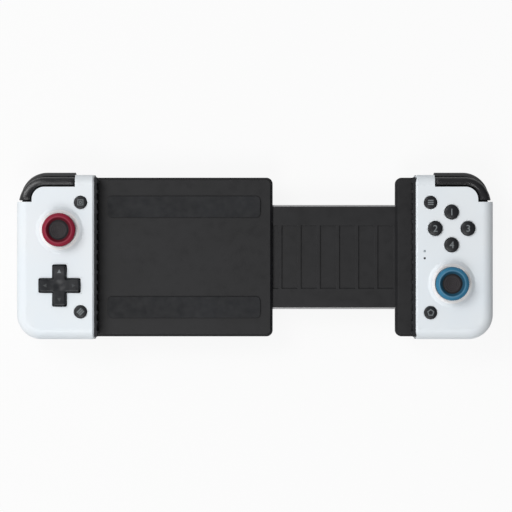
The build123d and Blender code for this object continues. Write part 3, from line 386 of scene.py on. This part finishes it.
right_dish = ringed_rubber("right_dish_rubber", dish_colour, tinted(dish_colour, 1.3), right_stick, dish_pitch)
steel = brushed_metal("steel", steel_colour, stretch=(1, 12, 12))
pin_steel = brushed_metal("pin_steel", tinted(steel_colour, 0.9), stretch=(12, 1, 1))
board = moulded("board_lacquer", board_colour, tinted(board_colour, 0.7), roughness=(0.25, 0.4), grain=900.0,
                depth=0.03 * mm)
dome = moulded("dome_rubber", dome_colour, tinted(dome_colour, 0.85), roughness=(0.5, 0.65), grain=1400.0,
               depth=0.03 * mm)
film = moulded("ribbon_film", film_colour, tinted(film_colour, 0.75), roughness=(0.3, 0.4), grain=700.0,
               depth=0.02 * mm)
battery_wrap = moulded("battery_wrap", battery_colour, tinted(battery_colour, 0.8), roughness=(0.3, 0.45),
                       grain=500.0, depth=0.03 * mm)
light_lens = moulded("light_lens", light_colour, tinted(light_colour, 0.8), roughness=(0.2, 0.3), grain=1500.0,
                     depth=0.01 * mm)
dark_lens = moulded("dark_lens", dark_light_colour, dark_light_tint, roughness=(0.2, 0.3), grain=1500.0,
                    depth=0.01 * mm)
socket_plastic = moulded("socket_plastic", socket_black, tinted(socket_black, 1.6), roughness=(0.35, 0.5),
                         grain=1500.0, depth=0.02 * mm)
contact_gold = brushed_metal("contact_gold", gold_colour, stretch=(12, 1, 1))

node_materials = {
    "left_front_shell": shell, "left_back_shell": shell, "right_front_shell": shell, "right_back_shell": shell,
    "left_bumper": bumper, "right_bumper": bumper, "left_trigger": left_trigger, "right_trigger": right_trigger,
    "left_shoulder_bracket": inner_black, "right_shoulder_bracket": inner_black,
    "left_trigger_pin": pin_steel, "right_trigger_pin": pin_steel,
    "left_stick_module": steel, "right_stick_module": steel,
    "left_stick_cradle": inner_black, "right_stick_cradle": inner_black,
    "left_stick_yoke": inner_black, "right_stick_yoke": inner_black,
    "left_stick_cap": rubber, "right_stick_cap": rubber,
    "left_stick_ring": red_ring, "right_stick_ring": blue_ring,
    "dpad": button, "dpad_pivot": inner_black, "dpad_membrane": dome, "face_button_membrane": dome,
    "left_button_domes": dome, "right_button_domes": dome, "left_board": board, "right_board": board,
    "battery": battery_wrap, "left_grip_screws": steel, "right_grip_screws": steel, "tray_screws": steel,
    "left_end_pad": rubber, "right_end_pad": rubber, "tray_pads": rubber,
    "tray_deck": tray, "tray_cover": tray, "right_tray_end": tray, "slider_plate": tray,
    "slider_rails": steel, "bridge_springs": steel, "tray_ribbon": film, "slider_ribbon": film,
    "light_pipes": light_lens, "charging_socket": steel,
}
face_buttons = ("face_button_top", "face_button_left", "face_button_right", "face_button_bottom")
small_buttons = ("left_upper_button", "left_lower_button", "right_upper_button", "right_lower_button")
for name in face_buttons + small_buttons:
    node_materials[name] = button
for name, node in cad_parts.items():
    node.data.materials.clear()
    node.data.materials.append(node_materials[name])


# Pieces made here

def add_piece(name, mesh, material, body):
    """A finished mesh that rides on a body."""
    piece = bpy.data.objects.new(name, mesh)
    bpy.context.scene.collection.objects.link(piece)
    mesh.materials.append(material)
    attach(piece, body)
    return piece


def finished_mesh(name, shape, sharp_angle=None):
    """The shape as a mesh with its faces turned out, smooth over edges softer than an angle in degrees."""
    bmesh.ops.recalc_face_normals(shape, faces=shape.faces)
    mesh = bpy.data.meshes.new(name)
    shape.to_mesh(mesh)
    shape.free()
    if sharp_angle is not None:
        mesh.shade_smooth()
        mesh.set_sharp_from_angle(angle=radians(sharp_angle))
    return mesh


def band(shape, first, second):
    """A closed band of faces between two loops of as many points."""
    count = len(first)
    for i in range(count):
        j = (i + 1) % count
        shape.faces.new((first[i], first[j], second[j], second[i]))


def raised_mesh(name, outlines, low, high):
    """Mesh of flat outlines raised from one height to another."""
    shape = bmesh.new()
    for outline in outlines:
        lower = [shape.verts.new((x, y, low)) for x, y in outline]
        upper = [shape.verts.new((x, y, high)) for x, y in outline]
        shape.faces.new(upper)
        shape.faces.new(lower[::-1])
        band(shape, lower, upper)
    return finished_mesh(name, shape)


def turned(points, angle, centre):
    """Points turned about the origin and moved to a centre."""
    c, s = cos(angle), sin(angle)
    return [(centre.x + c * x - s * y, centre.y + s * x + c * y) for x, y in points]


def ring_sectors(radius, width, sides, turn, centre):
    """A closed ring as one quadrilateral a side."""
    quads = []
    for i in range(sides):
        a, b = tau * i / sides, tau * (i + 1) / sides
        corners = [(r * cos(t), r * sin(t)) for r, t in
                   ((radius, a), (radius, b), (radius - width, b), (radius - width, a))]
        quads.append(turned(corners, turn, centre))
    return quads


def arc(centre_r, centre_z, radius, start, end, steps):
    """Points of an arc in a turned profile, as distance from the axis and height, by angles in degrees."""
    angles = [radians(start + (end - start) * i / steps) for i in range(steps + 1)]
    return [(centre_r + radius * cos(a), centre_z + radius * sin(a)) for a in angles]


def turned_mesh(name, profile, centre, sides=96, wave=None):
    """Mesh of a profile turned about an upright axis. A wave gives each point's distance by its step round."""
    shape = bmesh.new()
    rings = []
    for r, z in profile:
        if r < 1e-7:
            rings.append([shape.verts.new((centre.x, centre.y, z))])
            continue
        ring = []
        for i in range(sides):
            reach = r if wave is None else wave(r, z, i)
            ring.append(shape.verts.new((centre.x + reach * cos(tau * i / sides),
                                         centre.y + reach * sin(tau * i / sides), z)))
        rings.append(ring)
    for first, second in zip(rings, rings[1:]):
        for i in range(sides):
            j = (i + 1) % sides
            corners = (first[i % len(first)], first[j % len(first)],
                       second[j % len(second)], second[i % len(second)])
            # Where a ring is a single point on the axis, the face is a triangle.
            corners = list(dict.fromkeys(corners))
            if len(corners) > 2:
                shape.faces.new(corners)
    return finished_mesh(name, shape, 40)


# Turned profiles, in millimetres: distance from the axis, and height above the level that they are placed at.
# Knurled rims of the sticks have a rounded crest and a slope down to the dish.
rim_teeth = 60
groove_depth = 0.14 * mm
rim_profile = [(6.9, -2.8), (7.8, -2.8), (7.98, -2.7), (8.05, -2.5), (8.05, -1.75), (7.99, -1.45),
               (7.85, -1.15), (7.6, -0.86), (7.3, -0.6), (6.95, -0.36), (6.65, -0.17), (6.45, -0.05)]
rim_profile += arc(6.2, -0.2, 0.2, 70, 130, 4)
rim_profile += [(5.9, -0.22), (5.6, -0.52), (5.3, -0.85), (5.05, -1.12), (4.88, -1.32), (4.78, -1.5),
                (4.75, -1.69)]
dish_profile = [(0, -1.52)] + [(3.7 * i / 10, -1.52 + 0.3 * (i / 10) ** 2) for i in range(1, 11)]
dish_profile += [(3.85, -1.2), (3.98, -1.24), (4.08, -1.34), (4.13, -1.5), (4.15, -1.69)]
post_profile = [(0, -8.3), (1.45, -8.3), (1.45, -4.4), (1.6, -4.0), (2.0, -3.75), (2.6, -3.6), (5.8, -3.35),
                (6.5, -3.15), (6.85, -2.85), (6.95, -2.5), (6.95, -1.75), (0, -1.75)]
# Dust domes, a skin between two spheres about the stick's centre
dust_dome_radius = 8.83
dust_dome_inside = 0.955
dust_dome_profile = [(dust_dome_radius * sin(radians(a)), dust_dome_radius * cos(radians(a)))
                     for a in range(20, 63, 3)]
dust_dome_profile += [(r * dust_dome_inside, z * dust_dome_inside) for r, z in dust_dome_profile[::-1]]
collar_profile = [(11.6, -0.06), (11.3, 0.01), (11.05, 0.07), (10.8, 0.17), (10.5, 0.32), (10.2, 0.5),
                  (9.95, 0.6), (9.6, 0.63), (9.0, 0.64), (8.6, 0.63), (8.3, 0.6), (8.12, 0.54), (8.0, 0.42),
                  (7.92, 0.2)]


def knurl(r, z, step):
    """Distance of a rim point: shallow grooves on its upright side only."""
    on_side = r > 7.95 * mm
    return r - groove_depth if on_side and step % 4 in (0, 1) else r


def placed(profile, height):
    """A profile in millimetres from a level, in metres."""
    return [(r * mm, height + z * mm) for r, z in profile]


face_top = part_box("dpad")[1].z - 2.3 * mm    # The flat of the front face
dome_centre_drop = 16.5 * mm                 # From the top of the rims down to the centre of the dust domes
for hand, centre, rim, rim_slot, dish in (("left", left_stick, red_ring, "ring_red", left_dish),
                                          ("right", right_stick, blue_ring, "ring_blue", right_dish)):
    ring_mesh = turned_mesh(f"{hand}_rim", placed(rim_profile, centre.z), centre, 4 * rim_teeth, knurl)
    ring = add_piece(f"{hand}_rim", ring_mesh, rim, f"{hand}_stick")
    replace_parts(ring, f"{hand}_stick_ring")
    dish_mesh = turned_mesh(f"{hand}_dish", placed(dish_profile, centre.z), centre)
    add_piece(f"{hand}_dish", dish_mesh, dish, f"{hand}_stick")
    post_mesh = turned_mesh(f"{hand}_post", placed(post_profile, centre.z), centre, 64)
    post = add_piece(f"{hand}_post", post_mesh, rubber, f"{hand}_stick")
    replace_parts(post, f"{hand}_stick_cap")
    dome_mesh = turned_mesh(f"{hand}_dust_dome", placed(dust_dome_profile, centre.z - dome_centre_drop), centre)
    add_piece(f"{hand}_dust_dome", dome_mesh, dish, f"{hand}_stick")
    collar_mesh = turned_mesh(f"{hand}_collar", placed(collar_profile, face_top), centre, 128)
    add_piece(f"{hand}_collar", collar_mesh, shell, f"{hand}_grip")

# Push buttons with a soft edge, a low crown and their flange, in openings with a soft white lip.
# In millimetres: radius of the cap, radius of the opening, rise of the crown
face_cap = (3.36, 3.9, 0.24)
small_cap = (3.0, 3.55, 0.1)
cap_edge = 0.5
flange_width = 0.3
flange_height = 0.9
lip_gap = 0.18
for node in face_buttons + small_buttons:
    low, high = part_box(node)
    radius, opening, crown = face_cap if node in face_buttons else small_cap
    depth = (low.z - high.z) / mm
    flange = opening + flange_width
    profile = [(0, depth), (flange, depth), (flange, depth + flange_height), (radius, depth + flange_height)]
    profile += arc(radius - cap_edge, -cap_edge - crown, cap_edge, 0, 80, 8)
    reach = profile[-1][0]
    profile += [(reach * i / 8, -crown * (i / 8) ** 2) for i in range(7, -1, -1)]
    place = centre_of(node)
    cap_mesh = turned_mesh(f"{node}_cap", placed(profile, high.z), place, 72)
    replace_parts(add_piece(f"{node}_cap", cap_mesh, button, node), node)
    lip = radius + lip_gap
    lip_profile = [(lip, -1.2), (lip, -0.14), (lip + 0.03, -0.06), (lip + 0.1, -0.01), (lip + 0.2, 0.02),
                   (opening + 0.1, 0.02), (opening + 0.14, -0.04)]
    lip_mesh = turned_mesh(f"{node}_lip", placed(lip_profile, face_top), place, 72)
    hand = node.split("_")[0] if node in small_buttons else "right"
    add_piece(f"{node}_lip", lip_mesh, shell, f"{hand}_grip")


def cross_lines(arm, length, edge):
    """Grid lines across the cross, close together at its edges."""
    near_edge = [0, 0.06, 0.15, 0.28, 0.45, edge]
    inner = [arm - d for d in near_edge] + [arm + (length - arm) * i / 8 for i in range(1, 8)]
    outer = [length - d for d in near_edge]
    middle = [(arm - edge) * i / 5 for i in range(6)]
    half = sorted(set(round(v, 5) for v in middle + inner + outer))
    return [-v for v in reversed(half) if v > 0] + half


def cross_mesh(name, centre, top, bottom):
    """The cross: rounded edges and corners, arms that rise towards their ends, and a dish in the middle."""
    arm, length, edge, corner = 2.95, 9.5, 0.6, 1.0
    dish_radius, dish_depth, arm_rise, rise_length = 3.4, 0.32, 0.28, 4.5
    lines = cross_lines(arm, length, edge)
    shape = bmesh.new()
    verts = {}

    def vertex(i, j):
        """Top point of a grid crossing, with the plan's outer corners rounded."""
        if (i, j) in verts:
            return verts[i, j]
        x, y = lines[i], lines[j]
        along, across = (abs(x), abs(y)) if abs(x) > abs(y) else (abs(y), abs(x))
        edge_distance = min(length - along, arm - across) if along > arm else length
        if along > length - corner and across > arm - corner:
            u, v = (along - length + corner) / corner, (across - arm + corner) / corner
            new_along = length - corner + corner * u * (1 - v * v / 2) ** 0.5
            new_across = arm - corner + corner * v * (1 - u * u / 2) ** 0.5
            if abs(x) > abs(y):
                x, y = copysign(new_along, x), copysign(new_across, y)
            else:
                x, y = copysign(new_across, x), copysign(new_along, y)
        drop = 0.0
        if edge_distance < edge:
            inside = edge - edge_distance
            drop += edge - (edge * edge - inside * inside) ** 0.5
        middle = (x * x + y * y) ** 0.5
        if middle < dish_radius:
            drop += dish_depth * (1 - (middle / dish_radius) ** 2) ** 2
        drop += arm_rise * min(1.0, (length - along) / rise_length) ** 2
        verts[i, j] = shape.verts.new((centre.x + x * mm, centre.y + y * mm, top - drop * mm))
        return verts[i, j]

    count = len(lines)
    for i in range(count - 1):
        for j in range(count - 1):
            mid_x = abs(lines[i] + lines[i + 1]) / 2
            mid_y = abs(lines[j] + lines[j + 1]) / 2
            if mid_x < arm or mid_y < arm:
                shape.faces.new((vertex(i, j), vertex(i + 1, j), vertex(i + 1, j + 1), vertex(i, j + 1)))
    rim = [e for e in shape.edges if e.is_boundary]
    skirt = bmesh.ops.extrude_edge_only(shape, edges=rim)["geom"]
    for v in skirt:
        if isinstance(v, bmesh.types.BMVert):
            v.co.z = bottom
    return finished_mesh(name, shape, 55)


cross = centre_of("dpad")
cross_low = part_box("dpad")[0].z
cross_top = cross_mesh("cross_top", cross, cross.z, cross_low + 2.0 * mm)
add_piece("cross_top", cross_top, button, "dpad")
disc_profile = [(1.9, 1.0), (11.2, 1.0), (11.35, 1.15), (11.35, 2.0), (11.2, 2.1), (0, 2.1)]
disc_mesh = turned_mesh("cross_disc", placed(disc_profile, cross_low), cross)
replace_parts(add_piece("cross_disc", disc_mesh, button, "dpad"), "dpad")


def cross_outline(arm, length, corner):
    """Plan of a cross in millimetres, its outer corners cut."""
    quarter = [(length, -arm + corner), (length, arm - corner), (length - corner, arm), (arm, arm)]
    points = []
    for turn in range(4):
        c, s = round(cos(turn * pi / 2)), round(sin(turn * pi / 2))
        points += [(c * x - s * y, s * x + c * y) for x, y in quarter]
        points.append((c * arm - s * (length - corner), s * arm + c * (length - corner)))
    return points


def stacked_mesh(name, loops, centre):
    """Mesh of strips between outlines of equal count, each with its height."""
    shape = bmesh.new()
    rings = [[shape.verts.new((centre.x + x * mm, centre.y + y * mm, z)) for x, y in outline]
             for outline, z in loops]
    for first, second in zip(rings, rings[1:]):
        band(shape, first, second)
    return finished_mesh(name, shape)


# Lip round the cross, in millimetres: half width of an arm, its length from the middle, height above the face
cross_lip = [(3.56, 10.1, -0.8), (3.5, 10.04, -0.14), (3.53, 10.07, -0.04), (3.62, 10.16, 0.02),
             (3.95, 10.5, 0.02), (4.0, 10.55, -0.04)]
lip_mesh = stacked_mesh("cross_lip", [(cross_outline(arm, length, 0.5), face_top + z * mm)
                                      for arm, length, z in cross_lip], cross)
add_piece("cross_lip", lip_mesh, shell, "left_grip")

# Ends of the two status lights: a pale one, and a dark one below it
light_low, light_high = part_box("light_pipes")
light_depth = (light_low.z - light_high.z) / mm
light_profile = [(0, light_depth), (0.49, light_depth), (0.49, -0.1), (0.46, -0.04), (0.38, -0.01), (0, 0)]
light_radius = 0.5 * mm
for light_name, light_y, window in (("upper", light_high.y - light_radius, light_lens),
                                    ("lower", light_low.y + light_radius, dark_lens)):
    spot = Vector(((light_low.x + light_high.x) / 2, light_y, 0))
    light_mesh = turned_mesh(f"{light_name}_light", placed(light_profile, light_high.z), spot, 32)
    light = add_piece(f"{light_name}_light", light_mesh, window, "right_grip")
    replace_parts(light, "light_pipes")

# Marks stand out of the buttons by the first and reach into them by the second.
mark_height = 0.06 * mm
mark_sink = 0.05 * mm
numeral_size = 4.6 * mm
numeral_weight = 0.04 * mm


def numeral(number, node):
    """A plain number on a face button."""
    centre = centre_of(node)
    text = bpy.data.curves.new(f"{node}_number", "FONT")
    text.body = str(number)
    text.align_x = "CENTER"
    text.align_y = "CENTER"
    text.size = numeral_size
    text.extrude = (mark_height + mark_sink) / 2
    text.offset = numeral_weight
    text.resolution_u = 6
    holder = bpy.data.objects.new(f"{node}_text", text)
    bpy.context.scene.collection.objects.link(holder)
    bpy.context.view_layer.update()
    mesh = bpy.data.meshes.new_from_object(holder.evaluated_get(bpy.context.evaluated_depsgraph_get()))
    bpy.data.objects.remove(holder)
    middle_x = (min(v.co.x for v in mesh.vertices) + max(v.co.x for v in mesh.vertices)) / 2
    middle_y = (min(v.co.y for v in mesh.vertices) + max(v.co.y for v in mesh.vertices)) / 2
    for v in mesh.vertices:
        v.co += Vector((centre.x - middle_x, centre.y - middle_y, centre.z + (mark_height - mark_sink) / 2))
    mesh.materials.clear()
    return add_piece(f"{node}_mark", mesh, mark, node)


for number, node in enumerate(face_buttons, 1):
    numeral(number, node)


def small_mark(node, outlines):
    """A plain sign on a small button."""
    top = centre_of(node).z
    mesh = raised_mesh(f"{node}_mark", outlines, top - mark_sink, top + mark_height)
    return add_piece(f"{node}_mark", mesh, mark, node)


def bar(length, width, shift=(0, 0)):
    """A rectangle's corners."""
    x, y = length / 2, width / 2
    return [(shift[0] - x, shift[1] - y), (shift[0] + x, shift[1] - y),
            (shift[0] + x, shift[1] + y), (shift[0] - x, shift[1] + y)]


# A square with a dot, slanted bars, level bars and a five-sided ring
place = centre_of("left_upper_button")
square = ring_sectors(radius=2.0 * mm, width=0.5 * mm, sides=4, turn=pi / 4, centre=place)
dot = ring_sectors(radius=0.75 * mm, width=0.4 * mm, sides=16, turn=0, centre=place)
small_mark("left_upper_button", square + dot)
place = centre_of("left_lower_button")
slanted_bars = [turned(bar(2.9 * mm, 0.6 * mm, (0, y)), pi / 4, place) for y in (-0.9 * mm, 0, 0.9 * mm)]
small_mark("left_lower_button", slanted_bars)
place = centre_of("right_upper_button")
level_bars = [turned(bar(2.7 * mm, 0.55 * mm, (0, y)), 0, place) for y in (-0.95 * mm, 0, 0.95 * mm)]
small_mark("right_upper_button", level_bars)
place = centre_of("right_lower_button")
five_sided = ring_sectors(radius=1.75 * mm, width=0.55 * mm, sides=5, turn=pi / 10, centre=place)
small_mark("right_lower_button", five_sided)

# Arrows on the arms of the cross: the top one painted light as a painted highlight, and faint ones in the
# plastic's own colour
arrow = [(6.0 * mm, -0.95 * mm), (7.8 * mm, 0), (6.0 * mm, 0.95 * mm)]
arrow_low, arrow_high = cross.z - 0.25 * mm, cross.z + 0.02 * mm
for quarter, arrow_name in enumerate(("right", "top", "left", "bottom")):
    outline = turned(arrow, quarter * pi / 2, cross)
    arrow_mesh = raised_mesh(f"dpad_{arrow_name}_arrow", [outline], arrow_low, arrow_high)
    paint, slot = (mark, "trigger_grey") if arrow_name == "top" else (faint_mark, "button_dark")
    add_piece(f"dpad_{arrow_name}_arrow", arrow_mesh, paint, "dpad")


# Screws with a cross recess in the head, and the inside of the charging socket

def screw_mesh(name, places, low_z, high_z, head_height):
    """Upright screws with their heads down, on places in metres."""
    head_radius, shank_radius, tip_radius = 1.88 * mm, 0.98 * mm, 0.6 * mm
    chamfer, tip_height, recess, sides = 0.25 * mm, 0.4 * mm, 0.7 * mm, 24
    slot_half, slot_reach, slot_corner = 0.24, 1.05, 0.08
    rings = [(head_radius - chamfer, low_z), (head_radius, low_z + chamfer), (head_radius, low_z + head_height),
             (shank_radius, low_z + head_height), (shank_radius, high_z - tip_height), (tip_radius, high_z)]
    shape = bmesh.new()
    for x, y in places:
        loops = [[shape.verts.new((x + r * cos(tau * i / sides), y + r * sin(tau * i / sides), z))
                  for i in range(sides)] for r, z in rings]
        for first, second in zip(loops, loops[1:]):
            band(shape, first, second)
        shape.faces.new(loops[-1])
        plan = [(x + u * mm, y + v * mm) for u, v in cross_outline(slot_half, slot_reach, slot_corner)]
        mouth = [shape.verts.new((u, v, low_z)) for u, v in plan]
        floor = [shape.verts.new((u, v, low_z + recess)) for u, v in plan]
        count = len(plan)
        edges = [shape.edges.new((mouth[i], mouth[(i + 1) % count])) for i in range(count)]
        band(shape, mouth, floor)
        shape.faces.new(floor)
        edges += [shape.edges.get((loops[0][i], loops[0][(i + 1) % sides])) for i in range(sides)]
        bmesh.ops.triangle_fill(shape, edges=edges, use_beauty=True)
    return finished_mesh(name, shape, 30)


# The boxes of the screw nodes reach this far past the middles of their screws
head = 1.9 * mm
outer_screw_y = -26.45 * mm
for hand in ("left", "right"):
    low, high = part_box(f"{hand}_grip_screws")
    inner_line, outer_line = (high.x - head, low.x + head) if hand == "left" else (low.x + head, high.x - head)
    places = [(inner_line, low.y + head), (inner_line, high.y - head), (outer_line, outer_screw_y)]
    heads = screw_mesh(f"{hand}_screws", places, low.z, high.z, head_height=1.4 * mm)
    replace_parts(add_piece(f"{hand}_screws", heads, steel, f"{hand}_grip"), f"{hand}_grip_screws")
low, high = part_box("tray_screws")
places = [(x, y) for x in (low.x + head, high.x - head) for y in (low.y + head, high.y - head)]
heads = screw_mesh("tray_screw_heads", places, low.z, high.z, head_height=1.2 * mm)
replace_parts(add_piece("tray_screw_heads", heads, steel, "left_grip"), "tray_screws")

low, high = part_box("charging_socket")
socket_x, socket_z = (low.x + high.x) / 2, (low.z + high.z) / 2
tongue_front, tongue_back = low.y + 0.55 * mm, high.y - 0.85 * mm
tongue_half, tongue_chamfer, tongue_depth = 3.35 * mm, 0.3 * mm, 0.4 * mm
tongue = [(socket_x - tongue_half, tongue_back), (socket_x - tongue_half, tongue_front + tongue_chamfer),
          (socket_x - tongue_half + tongue_chamfer, tongue_front),
          (socket_x + tongue_half - tongue_chamfer, tongue_front),
          (socket_x + tongue_half, tongue_front + tongue_chamfer), (socket_x + tongue_half, tongue_back)]
tongue_mesh = raised_mesh("socket_tongue", [tongue], socket_z - tongue_depth, socket_z + tongue_depth)
add_piece("socket_tongue", tongue_mesh, socket_plastic, "right_grip")
contact_pitch, contact_width, contact_length, contact_rise = 0.5 * mm, 0.27 * mm, 3.4 * mm, 0.02 * mm
contacts = [bar(contact_width, contact_length, (socket_x + i * contact_pitch, tongue_front + 2.3 * mm))
            for i in range(-5, 6)]
contact_mesh = raised_mesh("socket_contacts", contacts, socket_z - tongue_depth - contact_rise,
                           socket_z + tongue_depth + contact_rise)
add_piece("socket_contacts", contact_mesh, contact_gold, "right_grip")


# Floor, lights and camera

def plain_floor():
    """Pale floor that the part lies on, bright to the camera with a trace of contact shadow."""
    mesh = bpy.data.meshes.new("floor")
    half = 3.0
    sink = 0.02 * mm
    glow_share = 0.9
    corners = [(-half, -half, 0), (half, -half, 0), (half, half, 0), (-half, half, 0)]
    mesh.from_pydata(corners, [], [(0, 1, 2, 3)])
    floor = bpy.data.objects.new("floor", mesh)
    bpy.context.scene.collection.objects.link(floor)
    floor.location.z = cad_low.z - sink
    material = bpy.data.materials.new("floor_paper")
    material.use_nodes = True
    tree = material.node_tree
    tree.nodes.clear()
    output = tree.nodes.new("ShaderNodeOutputMaterial")
    paper = tree.nodes.new("ShaderNodeBsdfDiffuse")
    paper.inputs["Color"].default_value = (*paper_colour, 1)
    glow = tree.nodes.new("ShaderNodeEmission")
    glow.inputs["Color"].default_value = (1, 1, 1, 1)
    glow.inputs["Strength"].default_value = 1.0
    ray = tree.nodes.new("ShaderNodeLightPath")
    share = tree.nodes.new("ShaderNodeMath")
    share.operation = "MULTIPLY"
    share.inputs[1].default_value = glow_share
    tree.links.new(ray.outputs["Is Camera Ray"], share.inputs[0])
    mix = tree.nodes.new("ShaderNodeMixShader")
    tree.links.new(share.outputs["Value"], mix.inputs["Fac"])
    tree.links.new(paper.outputs["BSDF"], mix.inputs[1])
    tree.links.new(glow.outputs["Emission"], mix.inputs[2])
    tree.links.new(mix.outputs["Shader"], output.inputs["Surface"])
    mesh.materials.append(material)
    floor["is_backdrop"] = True


def soft_light(name, place, aim, size, watts):
    """A square soft box that looks at a point."""
    light = bpy.data.lights.new(name, "AREA")
    light.size = size
    light.energy = watts
    holder = bpy.data.objects.new(name, light)
    bpy.context.scene.collection.objects.link(holder)
    holder.location = place
    holder.rotation_euler = (Vector(aim) - Vector(place)).to_track_quat("-Z", "Y").to_euler()


def studio(left, right):
    """White surroundings, brighter on the left, as the shading of the photographed rims shows."""
    world = bpy.data.worlds.new("studio")
    world.use_nodes = True
    tree = world.node_tree
    background = tree.nodes["Background"]
    background.inputs["Color"].default_value = (1, 1, 1, 1)
    direction = tree.nodes.new("ShaderNodeTexCoord")
    sides = tree.nodes.new("ShaderNodeSeparateXYZ")
    tree.links.new(direction.outputs["Generated"], sides.inputs["Vector"])
    tree.links.new(spread(tree, sides.outputs["X"], -0.9, 0.9, left, right), background.inputs["Strength"])
    bpy.context.scene.world = world


plain_floor()
light_aim = (0, 0, 0.02)
soft_light("key", (-0.62, 0.48, 1.15), light_aim, size=0.6, watts=7.6)
soft_light("fill", (-0.2, -0.62, 1.2), light_aim, size=0.6, watts=7.1)
studio(left=0.62, right=0.06)

face_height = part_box("left_front_shell")[1].z
camera = bpy.data.cameras.new("camera")
camera.lens = lens
camera.sensor_width = sensor
camera.clip_start = 0.05
camera.clip_end = 20.0
viewer = bpy.data.objects.new("camera", camera)
bpy.context.scene.collection.objects.link(viewer)
viewer.location = (picture_centre.x, picture_centre.y, face_height + picture_width * lens / sensor)
bpy.context.scene.camera = viewer
bpy.context.scene.view_settings.view_transform = "Standard"

low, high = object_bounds()
